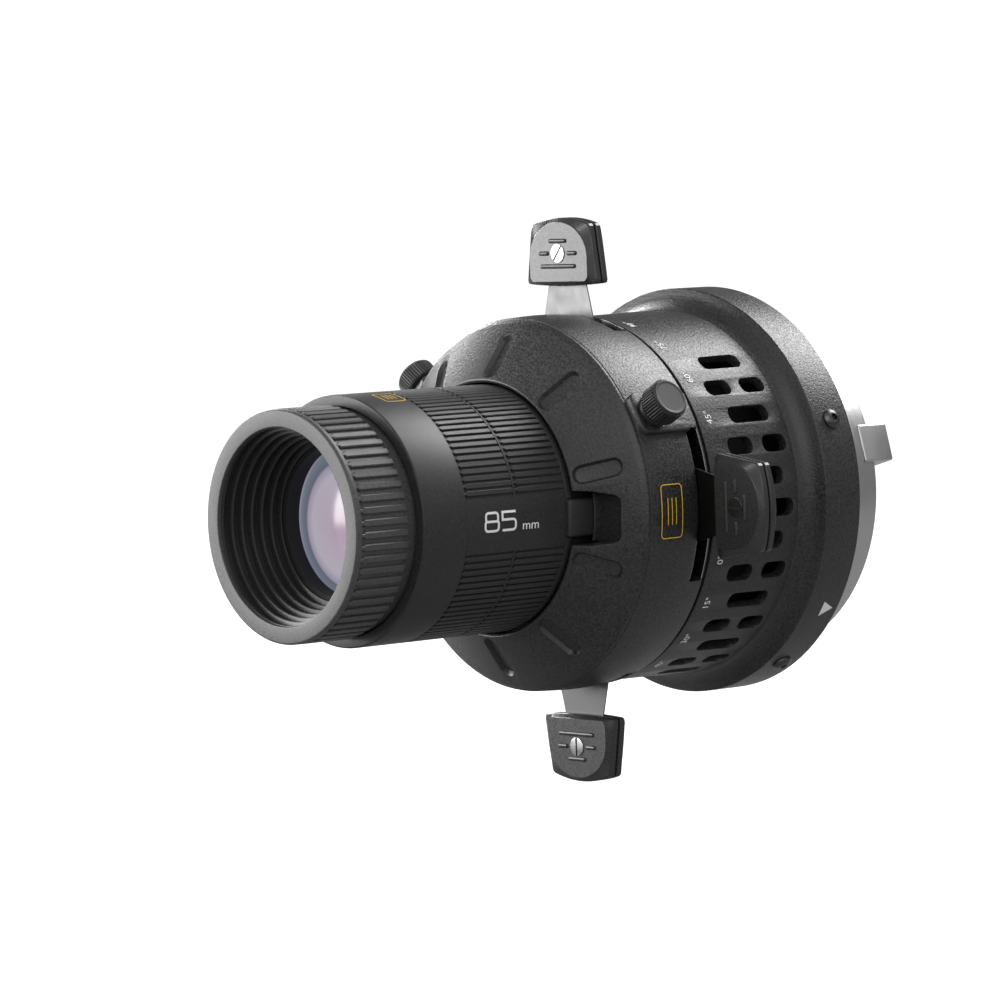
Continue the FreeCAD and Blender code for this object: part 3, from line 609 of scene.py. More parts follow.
def finish_named(name):
    """A finish of this object, built the first time it is asked for."""
    made = bpy.data.materials.get(name)
    if made:
        return made
    paint = settings("paint")
    # Darker steel: black steel for the inner parts, and painted shade on the right shutter's blade.
    black_and_shade = [0.35 * part for part in paint.steel]
    bright = [0.9 * part for part in paint.steel]
    dull = [0.5 * part for part in paint.satin]
    recipes = {
        "wrinkle_paint": lambda: painted(name, paint.textured, 0.40, 1250.0, 0.060 * MM),
        "satin_anodised": lambda: painted(name, paint.satin, 0.47, 2600.0, 0.010 * MM, gloss=0.4),
        "hood_black": lambda: painted(name, paint.satin, 0.36, 2600.0, 0.002 * MM, tone=False),
        "ring_black": lambda: painted(name, paint.ring, 0.5, 2600.0, 0.006 * MM),
        "dull_black": lambda: painted(name, dull, 0.62, 2600.0, 0.02 * MM),
        "moulded_plastic": lambda: painted(name, paint.moulded, 0.31, 2400.0, 0.002 * MM, tone=False),
        "shutter_steel": lambda: machined(name, paint.steel, 0.42, 40.0, 0.001 * MM),
        # Also painted shade on the right shutter's blade, besides the black steel of the inner parts.
        "black_and_shaded_steel": lambda: machined(name, black_and_shade, 0.42, 40.0, 0.002 * MM),
        # Also painted shade on the right grip's screw, besides the rim screws' own steel.
        "rim_screw_and_shaded_steel": lambda: machined(name, bright, 0.30, 40.0, 0.001 * MM),
        "polished_steel": lambda: machined(name, (0.34, 0.34, 0.34), 0.25, 60.0, 0.001 * MM),
        "silver": lambda: machined(name, paint.silver, 0.34, 24.0, 0.004 * MM),
        "marking_white": lambda: painted(name, paint.marking, 0.5, 3000.0, 0.004 * MM, tone=False),
        "marking_yellow": lambda: painted(name, paint.accent, 0.5, 3000.0, 0.004 * MM, tone=False),
        "lens_painted_reflection": lambda: coated_glass(name, paint.coating),
        "clear_glass": lambda: clear_glass(name),
    }
    return recipes[name]()


def coated_glass(name, tint):
    """A lens element that glows with a painted reflection: emitted colour, lilac in the middle and blue-grey
    outside, stands in for the image its coating throws back.
    """
    finish, tree, shader = new_finish(name, [0.08 * part for part in tint], 0.16)
    # Painted reflection: the lens glows with the ramp's colours below, though it is no lamp.
    shader.inputs["Emission Strength"].default_value = 0.5
    coordinates = tree.nodes.new("ShaderNodeTexCoord").outputs["Object"]
    # The painted reflection is centred a little off the axis.
    centred = tree.nodes.new("ShaderNodeMapping")
    centred.inputs["Location"].default_value = (-3.0 * MM, 0, 1.0 * MM)
    centred.inputs["Scale"].default_value = (1, 0, 1)
    tree.links.new(coordinates, centred.inputs["Vector"])
    distance = tree.nodes.new("ShaderNodeVectorMath")
    distance.operation = "LENGTH"
    tree.links.new(centred.outputs[0], distance.inputs[0])
    ramp = tree.nodes.new("ShaderNodeValToRGB")
    # Painted reflection: lilac middle, a dark band for the hood's inside, a blue-grey outer band and a lilac
    # edge.
    stops = ((0.0, (0.62, 0.40, 0.56)), (0.24, (0.74, 0.62, 0.76)), (0.56, (0.78, 0.72, 0.84)),
             (0.68, (0.56, 0.50, 0.66)), (0.71, (0.20, 0.23, 0.30)), (0.86, (0.30, 0.33, 0.43)),
             (0.91, (0.52, 0.48, 0.62)), (0.99, (0.30, 0.29, 0.38)))
    elements = ramp.color_ramp.elements
    while len(elements) < len(stops):
        elements.new(0.5)
    for element, (position, shade_of) in zip(elements, stops):
        element.position = position
        element.color = (*shade_of, 1.0)
    tree.links.new(ranged(tree, distance.outputs["Value"], 0, 33 * MM, 0, 1), ramp.inputs["Fac"])
    tree.links.new(ramp.outputs[0], shader.inputs["Emission Color"])
    return finish


def clear_glass(name):
    """A clear condenser element with faint smears."""
    finish, tree, shader = new_finish(name, (0.9, 0.92, 0.93), 0.03)
    shader.inputs["Transmission Weight"].default_value = 1.0
    smears = add_group(tree, paint_grain_group(), Grain_Scale=60.0, Blotch_Scale=30.0)
    tree.links.new(ranged(tree, smears.outputs["Gloss"], -0.04, 0.04, 0.02, 0.06), shader.inputs["Roughness"])
    return finish


# ---------------------------------------------------------------- lettering


def bend_round(data, radius, step):
    """Bend a flat mesh whose Z is the arc length onto a cylinder about Y."""
    mesh = bmesh.new()
    mesh.from_mesh(data)
    low = min(vertex.co.z for vertex in mesh.verts)
    high = max(vertex.co.z for vertex in mesh.verts)
    for number in range(1, int((high - low) / step) + 1):
        whole = mesh.verts[:] + mesh.edges[:] + mesh.faces[:]
        bmesh.ops.bisect_plane(mesh, geom=whole, plane_co=(0, 0, low + number * step), plane_no=(0, 0, 1))
    for vertex in mesh.verts:
        angle = vertex.co.z / radius
        vertex.co = turned(radius + vertex.co.x, vertex.co.y, angle)
    mesh.to_mesh(data)
    mesh.free()


def lettering(name, words, height, radius, station, angle, along_axis, stretch=1.0, weight=0.0):
    """Printed words on the barrel: read along the axis, or round it with their tops to the front."""
    curve = bpy.data.curves.new(name, "FONT")
    curve.body = words
    curve.size = height
    curve.align_x = "CENTER"
    curve.align_y = "CENTER"
    curve.extrude = 0.04 * MM
    curve.offset = weight
    curve.resolution_u = 3
    text = bpy.data.objects.new(name, curve)
    bpy.context.scene.collection.objects.link(text)
    settle_text(text)
    piece = bpy.data.objects[name]
    if along_axis:
        axes = Matrix(((0, 0, 1, 0), (1, 0, 0, 0), (0, 1, 0, 0), (0, 0, 0, 1)))
    else:
        axes = Matrix(((0, 0, 1, 0), (0, -1, 0, 0), (1, 0, 0, 0), (0, 0, 0, 1)))
    piece.data.transform(axes @ Matrix.Diagonal((stretch, 1, 1, 1)))
    bend_round(piece.data, radius, 0.8 * MM)
    piece.data.transform(outward(angle, station))
    return piece


def ribbon(corners, closed, width=0.85 * MM, thick=0.05 * MM):
    """A flat printed stroke along (along, across) corners, rounded where a corner gives its rounding."""
    path = soften(corners, 0, closed, steps=6)
    mesh = bmesh.new()
    rings = []
    for index, here in enumerate(path):
        before = path[index - 1] if closed or index else here
        after = path[(index + 1) % len(path)] if closed or index < len(path) - 1 else here
        into = (here - before).normalized() if before != here else (after - here).normalized()
        out = (after - here).normalized() if after != here else into
        side = Vector((-into.y - out.y, into.x + out.x))
        side = side / max(side.length_squared, 0.5) * width
        rings.append([mesh.verts.new((height, *(here + side * way)))
                      for height, way in ((0, -1), (0, 1), (thick, 1), (thick, -1))])
    pairs = list(zip(rings, rings[1:] + rings[:1])) if closed else list(zip(rings, rings[1:]))
    for this, following in pairs:
        for k in range(4):
            n = (k + 1) % 4
            mesh.faces.new([this[k], this[n], following[n], following[k]])
    if not closed:
        mesh.faces.new(rings[0])
        mesh.faces.new(rings[-1])
    bmesh.ops.recalc_face_normals(mesh, faces=mesh.faces)
    return mesh


def joined(meshes):
    """One bmesh from several, which are freed."""
    whole = bmesh.new()
    for part in meshes:
        data = bpy.data.meshes.new("part")
        part.to_mesh(data)
        part.free()
        whole.from_mesh(data)
        bpy.data.meshes.remove(data)
    return whole


def settle_text(text):
    """Replace a text object by a mesh object of the same name."""
    bpy.context.view_layer.update()
    graph = bpy.context.evaluated_depsgraph_get()
    data = bpy.data.meshes.new_from_object(text.evaluated_get(graph))
    name = text.name
    curve = text.data
    bpy.data.objects.remove(text)
    bpy.data.curves.remove(curve)
    piece = bpy.data.objects.new(name, data)
    bpy.context.scene.collection.objects.link(piece)


# ---------------------------------------------------------------- operators


class SPOTLIGHT_OT_focusing_ring(bpy.types.Operator):
    """Fluted ring that moves the lens group"""
    bl_idname = "spotlight.focusing_ring"
    bl_label = "Focusing Ring"

    def execute(self, context):
        size = settings("focus")
        start, skirt_end = front("focus_ring"), rear("focus_ring")
        outer, end = reach("focus_ring"), front("focus_ring") + 23 * MM
        floor = outer - size.flute_height
        mouth, bore = reach("front_hood") - 1.8 * MM, reach("front_hood") + 0.1 * MM
        skirt, skirt_bore = outer - 1.4 * MM, outer - 2.8 * MM
        core = lathe([
            (mouth, start, 0.5 * MM), (outer - 0.5 * MM, start, 0.6 * MM), (outer, start + 0.9 * MM),
            (outer, start + size.band), (floor, start + size.band + 0.3 * MM),
            (floor, end - 0.5 * MM), (floor - 0.3 * MM, end), (skirt, end), (skirt, skirt_end),
            (skirt_bore, skirt_end), (skirt_bore, end), (bore, end), (bore, start + 1.6 * MM),
            (mouth, start + 1.6 * MM)], rounding=0.2 * MM)
        finish = finish_named("ring_black")
        ring = as_object(core, "focusing_ring")
        place(ring, "focus_ring", "satin_black", finish, "focus_ring")
        grip_bar = bar(start + size.band - 0.2 * MM, end, size.flute_width, floor - 0.3 * MM,
                       outer + 0.05 * MM, 0.35 * MM, nose=1.3 * MM, nose_width=1.5 * MM)
        flute = as_object(grip_bar, "ring_flutes")
        flutes = repeat(flute, size.flutes, 0, 2 * math.pi / size.flutes, finish=finish)
        shade(flutes, 30)
        place(flutes, "focus_ring", "satin_black", finish)
        return {"FINISHED"}


class SPOTLIGHT_OT_hood(bpy.types.Operator):
    """Hood with light-trapping ridges in front of the lens"""
    bl_idname = "spotlight.hood"
    bl_label = "Hood"

    def execute(self, context):
        size = settings("focus")
        start, end, outer = front("front_hood"), rear("front_hood"), reach("front_hood")
        mouth, throat = outer - 2 * MM, outer - 8.6 * MM
        ridged = end - start - 0.8 * MM
        pitch = ridged / size.baffles
        corners = [(outer, start), (outer, end), (throat, end), (throat, start + ridged + 0.3 * MM)]
        for number in reversed(range(size.baffles)):
            crest = mouth + (throat - mouth) * number / size.baffles
            station = start + pitch * number
            corners += [(crest + size.baffle_depth, station + pitch - 0.2 * MM, 0.1 * MM),
                        (crest + size.baffle_depth, station + size.baffle_width + 0.3 * MM, 0.1 * MM),
                        (crest, station + size.baffle_width, 0.15 * MM), (crest, station, 0.15 * MM)]
        hood = as_object(lathe(corners, rounding=0.2 * MM), "front_hood_ridged")
        place(hood, "focus_ring", "matte_black", finish_named("hood_black"), "front_hood")
        return {"FINISHED"}


class SPOTLIGHT_OT_lens_tube(bpy.types.Operator):
    """Lens tube with two bands of ribs and a flush label pad"""
    bl_idname = "spotlight.lens_tube"
    bl_label = "Lens Tube"

    def execute(self, context):
        size = settings("tube")
        finish = finish_named("satin_anodised")
        start, end, outer = front("lens_tube"), rear("lens_tube"), reach("lens_tube")
        floor = outer - size.rib_height
        first = start + size.plain
        last = first + size.ribbed
        middle = (first + last) / 2 - 0.6 * MM
        half = size.divider / 2
        mouth, bore, spigot, stop = outer - 4.2 * MM, outer - 6.5 * MM, outer - 2.5 * MM, outer - 8.5 * MM
        shoulder = start + 69.4 * MM
        core = lathe([
            (mouth, start, 0.5 * MM), (outer, start, 0.7 * MM), (outer, first), (floor, first + 0.3 * MM),
            (floor, middle - half), (outer, middle - half + 0.2 * MM), (outer, middle + half - 0.2 * MM),
            (floor, middle + half), (floor, last - 0.3 * MM), (outer, last), (outer, shoulder),
            (spigot, shoulder), (spigot, end), (stop, end), (stop, end - 9.8 * MM), (bore, end - 9.8 * MM),
            (bore, start + 18 * MM), (mouth, start + 18 * MM)], rounding=0.15 * MM)
        tube = as_object(core, "lens_tube_body")
        slot_start = front("release_button") - 0.35 * MM
        slot_end = rear("release_button") + 0.35 * MM
        slot = block((8 * MM, slot_end - slot_start, 14.1 * MM), 0.1 * MM, 1)
        cutter = as_object(slot, "slot_cutter", outward(0, (slot_start + slot_end) / 2, outer))
        carve(tube, cutter)
        shade(tube)
        place(tube, "front_head", "satin_black", finish, "lens_tube")
        edge = size.pad_angle + 1.9 * MM / outer
        step = (2 * math.pi - 2 * edge) / (size.ribs - 1)
        for name, low, high in (("front_ribs", first - 0.1 * MM, middle - half + 0.1 * MM),
                                ("rear_ribs", middle + half - 0.1 * MM, last + 0.1 * MM)):
            rib = as_object(bar(low, high, size.rib_width, floor - 0.2 * MM, outer, 0.22 * MM,
                                nose=1.1 * MM, nose_width=1.0 * MM), name)
            ribs = repeat(rib, size.ribs, edge, step, finish=finish)
            shade(ribs, 30)
            place(ribs, "front_head", "satin_black", finish)
        pad = lathe([(floor - 0.2 * MM, first), (outer + 0.02 * MM, first), (outer + 0.02 * MM, last),
                     (floor - 0.2 * MM, last)],
                    rounding=0.15 * MM, segments=40, sweep=(-size.pad_angle, size.pad_angle))
        place(as_object(pad, "label_pad"), "front_head", "satin_black", finish)
        left, right, top, low = -3.1 * MM, 3.1 * MM, 3.2 * MM, -3.2 * MM
        curl = 1.5 * MM
        pinch, belly = 0.15 * MM, 0.9 * MM
        narrow, wide = left + 0.3 * MM, right - 0.3 * MM
        upper = ribbon([(narrow, top, curl), (wide, top, curl), (wide, pinch, belly),
                        (narrow, pinch, belly)], True)
        lower = ribbon([(left, pinch, belly), (right, pinch, belly), (right, low, curl),
                        (left, low, curl)], True, thick=0.06 * MM)
        five = ribbon([(right, top), (left, top), (left, 0.5 * MM), (right, 0.5 * MM, curl),
                       (right, low, curl), (left, low)], False)
        for name, strokes, station in (("digit_eight", (upper, lower), first + 11.4 * MM),
                                       ("digit_five", (five,), first + 19.4 * MM)):
            digit = as_object(joined(strokes), name)
            bend_round(digit.data, outer + 0.03 * MM, 0.8 * MM)
            digit.data.transform(outward(math.radians(1.5), station))
            place(digit, "front_head", "satin_black", finish_named("marking_white"))
        unit = lettering("focal_length_unit", "mm", 4.6 * MM, outer + 0.03 * MM, first + 29.6 * MM,
                         math.radians(-1.3), True, stretch=1.15)
        place(unit, "front_head", "satin_black", finish_named("marking_white"))
        return {"FINISHED"}


class SPOTLIGHT_OT_lenses(bpy.types.Operator):
    """Front and rear elements of the focusing group"""
    bl_idname = "spotlight.lenses"
    bl_label = "Lenses"

    def execute(self, context):
        for node, front_curve, rear_curve in (
                ("front_lens", 70 * MM, 120 * MM),
                ("rear_lens", 120 * MM, 90 * MM)):
            low, high, radius = front(node), rear(node), reach(node)
            profile = []
            steps = 16
            for step in range(steps + 1):
                here = radius * step / steps
                profile.append((here, low + front_curve - math.sqrt(front_curve ** 2 - here ** 2), 0))
            for step in range(steps, -1, -1):
                here = radius * step / steps
                profile.append((here, high - rear_curve + math.sqrt(rear_curve ** 2 - here ** 2), 0))
            element = as_object(lathe(profile, segments=120, closed=False), node + "_element")
            # Both elements glow with a painted reflection.
            place(element, "lens_carriage", "coated_glass", finish_named("lens_painted_reflection"), node)
        return {"FINISHED"}


class SPOTLIGHT_OT_front_cover(bpy.types.Operator):
    """Conical cover with radial recesses and the release button's well"""
    bl_idname = "spotlight.front_cover"
    bl_label = "Front Cover"

    def execute(self, context):
        size = settings("cover")
        finish = finish_named("wrinkle_paint")
        nose, end, outer = front("front_cover"), rear("front_cover"), reach("front_cover")
        bore = reach("lens_tube") + 0.7 * MM
        tip, shoulder = bore + 1 * MM, outer - 1.6 * MM
        shoulder_station = nose + 14.9 * MM
        inner, inner_station = outer - 5.8 * MM, end - 1.85 * MM
        cone = lathe([
            (bore, nose + 0.6 * MM), (tip, nose, 0.5 * MM), (shoulder, shoulder_station, 0.3 * MM),
            (outer - 0.1 * MM, end - 1.1 * MM, 0.3 * MM), (outer, end, 0.1 * MM), (inner, end),
            (inner, inner_station), (bore, nose + 4.4 * MM)], rounding=0.25 * MM)
        cover = as_object(cone, "front_cover_cone")
        well_floor = end - 5.95 * MM
        backing = block((15.8 * MM, 2.6 * MM, 24 * MM), 0.3 * MM)
        backing_piece = as_object(backing, "backing", outward(0, well_floor + 1.3 * MM, bore + 8 * MM))
        carve(cover, backing_piece, "UNION")
        slope = math.atan2(shoulder - tip, shoulder_station - nose)
        pill = rounded_box_outline(18.4 * MM, size.recess_width, size.recess_width / 2 - 0.2 * MM)
        recess = stack([(-size.recess_depth, shrink(pill, size.recess_slope)),
                        (size.recess_depth, shrink(pill, -size.recess_slope))])
        lean = Matrix.Rotation(-slope, 4, "Z")
        centre = Vector(((tip + shoulder) / 2 - 1.6 * MM, (nose + shoulder_station) / 2 - 1.2 * MM, 0))
        matrix = Matrix.Translation(centre) @ lean
        tool = as_object(recess, "recess_cutter", matrix)
        half_step = math.pi / size.recesses
        repeat(tool, size.recesses, half_step, 2 * half_step)
        carve(cover, tool)
        floor_edge = rounded_box_outline(36 * MM, size.well_width - 3.4 * MM, 2.6 * MM)
        widening = size.well_width / (size.well_width - 3.4 * MM)
        mouth_edge = [(along + (1.2 * MM if along > 0 else 0), across * widening)
                      for along, across in floor_edge]
        well = stack([(0, floor_edge), (7.5 * MM, mouth_edge), (16 * MM, mouth_edge)])
        facing = Matrix(((0, 1, 0, 0), (-1, 0, 0, 0), (0, 0, 1, 0), (0, 0, 0, 1)))
        well_piece = as_object(well, "well_cutter", Matrix.Translation((41.4 * MM, well_floor, 0)) @ facing)
        carve(cover, well_piece)
        passage = block((8 * MM, 30 * MM, 14 * MM), 0.3 * MM, 1)
        carve(cover, as_object(passage, "passage_cutter", outward(0, end - 8 * MM, bore - 2.7 * MM)))
        break_edges(cover, 0.4 * MM, 3)
        place(cover, "front_head", "textured_black", finish, "front_cover")
        spread = 8.2 * MM / bore
        lip_foot = well_floor + 0.3 * MM
        lip = lathe([(bore + 1.2 * MM, lip_foot), (bore + 1.3 * MM, well_floor - 2.4 * MM, 0.3 * MM),
                     (bore + 2.0 * MM, well_floor - 2.6 * MM, 0.3 * MM), (bore + 2.6 * MM, lip_foot)],
                    rounding=0.2 * MM, segments=24, sweep=(-spread, spread))
        place(as_object(lip, "well_lip"), "front_head", "textured_black", finish)
        return {"FINISHED"}


class SPOTLIGHT_OT_release_button(bpy.types.Operator):
    """Smooth push button in the cover's well"""
    bl_idname = "spotlight.release_button"
    bl_label = "Release Button"

    def execute(self, context):
        low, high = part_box("release_button")
        middle, size = (low + high) / 2, high - low
        mesh = block(tuple(size), 1.1 * MM, 4)
        button = as_object(mesh, "release_button_cap", Matrix.Translation(middle))
        place(button, "release_button", "smooth_black", finish_named("satin_anodised"), "release_button")
        return {"FINISHED"}


class SPOTLIGHT_OT_shutter_housing(bpy.types.Operator):
    """Drum with four shutter windows and two clamp bosses"""
    bl_idname = "spotlight.shutter_housing"
    bl_label = "Shutter Housing"

    def execute(self, context):
        start, end = front("shutter_housing"), rear("shutter_housing")
        bore = reach("gate_plate") + 0.1 * MM
        drum = lathe([
            (bore, start), (bore + 5.5 * MM, start, 0.3 * MM), (bore + 6.3 * MM, start + 15 * MM, 6 * MM),
            (bore + 5.3 * MM, end, 0.5 * MM), (bore, end)], rounding=0.25 * MM)
        housing = as_object(drum, "shutter_housing_drum")
        for side in CLAMP_SIDES:
            angle = angle_of(JOINTS["knob_turn_" + side]["axis"])
            outline = rounded_box_outline(26.8 * MM, 16 * MM, 3 * MM)
            boss = slab(outline, bore + 2 * MM, bore + 8 * MM, 0.7 * MM, 3)
            carve(housing, as_object(boss, "boss_" + side, outward(angle, start + 13.6 * MM)), "UNION")
        clock = angle_of(JOINTS["shutter_slide_right"]["axis"])
        window_start, window_end = rear("gate_plate") + 0.4 * MM, front("shutter_retainer")
        window = block((28 * MM, window_end - window_start, 54.8 * MM), 0.3 * MM, 1)
        tool = as_object(window, "window_cutter", outward(0, (window_start + window_end) / 2, bore + 4 * MM))
        repeat(tool, len(SIDES), clock, 2 * math.pi / len(SIDES))
        carve(housing, tool)
        for side in CLAMP_SIDES:
            axis = JOINTS["knob_turn_" + side]["axis"]
            station = JOINTS["knob_turn_" + side]["pos_m"][1]
            hole = lathe([(0, bore - 1 * MM), (3.0 * MM, bore - 1 * MM), (3.0 * MM, bore + 9 * MM),
                          (0, bore + 9 * MM)], rounding=0, segments=32)
            carve(housing, as_object(hole, "stud_cutter_" + side, upright(angle_of(axis), station)))
        break_edges(housing, 0.3 * MM, 2)
        place(housing, "front_head", "textured_black", finish_named("wrinkle_paint"), "shutter_housing")
        half_window = 23.2 * math.pi / 180
        for name, low, high in (("front_guides", window_start + 0.05 * MM, window_start + 0.45 * MM),
                                ("rear_guides", window_end - 0.45 * MM, window_end - 0.05 * MM)):
            guide = lathe([(bore + 0.5 * MM, low), (bore + 5.5 * MM, low), (bore + 5.5 * MM, high),
                           (bore + 0.5 * MM, high)], rounding=0.08 * MM, segments=32,
                          sweep=(-half_window, half_window))
            guides = as_object(guide, name)
            repeat(guides, len(SIDES), clock, 2 * math.pi / len(SIDES), finish=finish_named("polished_steel"))
            shade(guides)
            place(guides, "front_head", "matte_black", finish_named("polished_steel"))
        return {"FINISHED"}


class SPOTLIGHT_OT_clamp_knobs(bpy.types.Operator):
    """Two knurled thumb knobs"""
    bl_idname = "spotlight.clamp_knobs"
    bl_label = "Clamp Knobs"

    def execute(self, context):
        size = settings("clamp")
        finish = finish_named("satin_anodised")
        for side in CLAMP_SIDES:
            node = "clamp_knob_" + side
            joint = JOINTS["knob_turn_" + side]
            angle, station = angle_of(joint["axis"]), joint["pos_m"][1]
            foot, top, radius = 70.3 * MM, 81 * MM, 7.5 * MM
            stud_foot = reach("gate_plate") - 0.3 * MM
            matrix = upright(angle, station)
            core = radius - size.knurl_height
            knob = lathe([
                (0, stud_foot), (2.95 * MM, stud_foot), (2.95 * MM, foot), (6.2 * MM, foot),
                (6.2 * MM, foot + 1.6 * MM), (5.2 * MM, foot + 2.0 * MM), (5.2 * MM, foot + 2.6 * MM),
                (core, foot + 2.9 * MM, 0.3 * MM), (core, top - 1.1 * MM), (radius - 0.9 * MM, top, 0.4 * MM),
                (radius - 2 * MM, top - 0.25 * MM), (0, top - 0.25 * MM)],
                rounding=0.15 * MM, segments=96, closed=False)
            piece = as_object(knob, "clamp_knob_%s_body" % side, matrix)
            place(piece, node, "smooth_black", finish, node)
            knurl = slab([(foot + 3.2 * MM, -0.34 * MM), (top - 0.9 * MM, -0.34 * MM),
                          (top - 0.9 * MM, 0.34 * MM), (foot + 3.2 * MM, 0.34 * MM)],
                         core - 0.2 * MM, radius, 0.2 * MM)
            knurls = as_object(knurl, "clamp_knob_%s_knurls" % side)
            repeat(knurls, size.knurls, 0, 2 * math.pi / size.knurls, finish=finish)
            knurls.data.transform(matrix)
            shade(knurls, 30)
            place(knurls, node, "smooth_black", finish)
        return {"FINISHED"}


class SPOTLIGHT_OT_shutters(bpy.types.Operator):
    """Four framing shutters: blades, moulded grips and slotted screws"""
    bl_idname = "spotlight.shutters"
    bl_label = "Shutters"

    def execute(self, context):
        for side in SIDES:
            joint = JOINTS["shutter_slide_" + side]
            angle = angle_of(joint["axis"])
            plane = (front("blade_" + side) + rear("blade_" + side)) / 2
            body = "shutter_" + side
            blade = frame["nodes"]["blade_" + side]
            blade.data.materials.clear()
            # Painted shade: the right shutter's blade gets a darker steel than the other three.
            steel = "black_and_shaded_steel" if side == "right" else "shutter_steel"
            blade.data.materials.append(finish_named(steel))
            for half, sign in (("front", -1), ("rear", 1)):
                matrix = outward(angle, plane) @ flat_matrix(sign)
                self.grip(side, half, body, matrix)
            self.screw(side, body, outward(angle, plane) @ flat_matrix(-1))
        return {"FINISHED"}

    def grip(self, side, half, body, matrix):
        """One moulded half: a bordered shell, a raised plateau and its bars, facing away from the blade."""
        size = settings("grip")
        finish = finish_named("moulded_plastic")
        skin, top = 0.45 * MM, 4.45 * MM
        inner, outer = 79 * MM, 102.9 * MM
        outline = grip_outline(inner, outer, 18.7 * MM, 15.5 * MM)
        face = tombstone(inner + 0.8 * MM, outer - 1.6 * MM, 15.2 * MM, len(outline))
        levels = [(skin, shrink(outline, 0.35 * MM)), (skin + 0.3 * MM, outline), (top - 1.9 * MM, outline)]
        for depth, share in ((1.5 * MM, 0.12), (0.3 * MM, 0.9), (0.08 * MM, 0.97), (0, 1)):
            blend = [Vector(edge).lerp(Vector(inner), share) for edge, inner in zip(outline, face)]
            levels.append((top - depth, blend))
        shell = as_object(stack(levels), "shell", matrix, 14)
        name = "grip_%s_%s" % (half, side)
        shell.name = name + "_shell"
        place(shell, body, "grip_black", finish, name)
        mesh = bmesh.new()
        middle = 90 * MM
        bars = ((85.3 * MM, 0, 18.7 * MM), (middle, 7.4 * MM, 5.3 * MM), (middle, -7.4 * MM, 5.3 * MM),
                (94.5 * MM, 0, 9.4 * MM))
        for distance, offset, long in bars:
            one = slab(rounded_box_outline(size.bar, long, size.bar * 0.49), top - 0.3 * MM,
                       top + size.bar_height, size.bar * 0.42, 3)
            one.transform(Matrix.Translation((0, distance, offset)))
            data = bpy.data.meshes.new("bar")
            one.to_mesh(data)
            one.free()
            mesh.from_mesh(data)
            bpy.data.meshes.remove(data)
        place(as_object(mesh, name + "_bars", matrix), body, "grip_black", finish)

    def screw(self, side, body, matrix):
        """A slotted grip screw's head, its slot leaning as on that side."""
        head = lathe([(0, 4.2 * MM), (3.5 * MM, 4.2 * MM), (3.5 * MM, 4.8 * MM, 0.2 * MM), (0, 4.85 * MM)],
                     rounding=0.1 * MM, segments=48, closed=False)
        swing = Matrix.Translation((0, 90 * MM, 0)) @ Matrix.Rotation(-math.pi / 2, 4, "Z")
        piece = as_object(head, "grip_screw_%s_head" % side, swing)
        groove = block((1.0 * MM, 0.8 * MM, 9 * MM), 0.05 * MM, 1)
        lean = Matrix.Translation((4.9 * MM, 90 * MM, 0)) @ Matrix.Rotation(SLOT_LEAN[side], 4, "X")
        carve(piece, as_object(groove, "groove", lean))
        break_edges(piece, 0.08 * MM, 1)
        piece.data.transform(matrix)
        # Painted shade: the right grip's screw gets a darker steel than the other three.
        steel = "rim_screw_and_shaded_steel" if side == "right" else "polished_steel"
        place(piece, body, "bright_steel", finish_named(steel), "grip_screw_" + side)


def flat_matrix(sign):
    """Lay a slab, built outwards along X from (along Y, across Z), onto a shutter's front or rear face."""
    if sign < 0:
        return Matrix(((0, 1, 0, 0), (-1, 0, 0, 0), (0, 0, 1, 0), (0, 0, 0, 1)))
    return Matrix(((0, 1, 0, 0), (1, 0, 0, 0), (0, 0, -1, 0), (0, 0, 0, 1)))


def arched(start, end, rise, steps=12):
    """Points on a shallow arc from start to end that bulges by a rise along the first axis."""
    points = []
    for step in range(steps + 1):
        share = step / steps
        point = Vector(start).lerp(Vector(end), share)
        point.x += rise * 4 * share * (1 - share)
        points.append((point.x, point.y))
    return points


def grip_outline(inner, outer, half_inner, half_outer):
    """A grip seen flat: straight flanks between a nearly straight inner and an arched outer edge."""
    corner = outer - 2.6 * MM
    sides = [*arched((inner, half_inner), (inner, -half_inner), -0.9 * MM),
             *arched((corner, -half_outer), (corner, half_outer), 2.6 * MM)]
    rounded = [(*point, 2.2 * MM) if index in (0, 12, 13, 25) else (*point, 0)
               for index, point in enumerate(sides)]
    return respace(soften(rounded, 0, steps=5), 96)


def tombstone(inner, outer, half, count):
    """A flat face with a straight inner edge and a round outer end, as an even number of points."""
    corner = 1.4 * MM
    points = [Vector((inner, half - corner)), Vector((inner, corner - half))]
    points += [Vector((inner + corner, -half))]
    centre = inner + 8.5 * MM
    for step in range(41):
        lean = -math.pi / 2 + math.pi * step / 40
        points.append(Vector((centre + (outer - centre) * math.cos(lean), half * math.sin(lean))))
    points += [Vector((inner + corner, half))]
    return respace(points, count)


def respace(points, count):
    """The same closed outline with evenly spaced points."""
    closed = points + points[:1]
    runs = [(b - a).length for a, b in zip(closed, closed[1:])]
    total = sum(runs)
    spaced = []
    at, passed = 0, 0.0
    for number in range(count):
        target = total * number / count
        while passed + runs[at] < target:
            passed += runs[at]
            at += 1
        spaced.append(closed[at].lerp(closed[at + 1], (target - passed) / runs[at]))
    return spaced


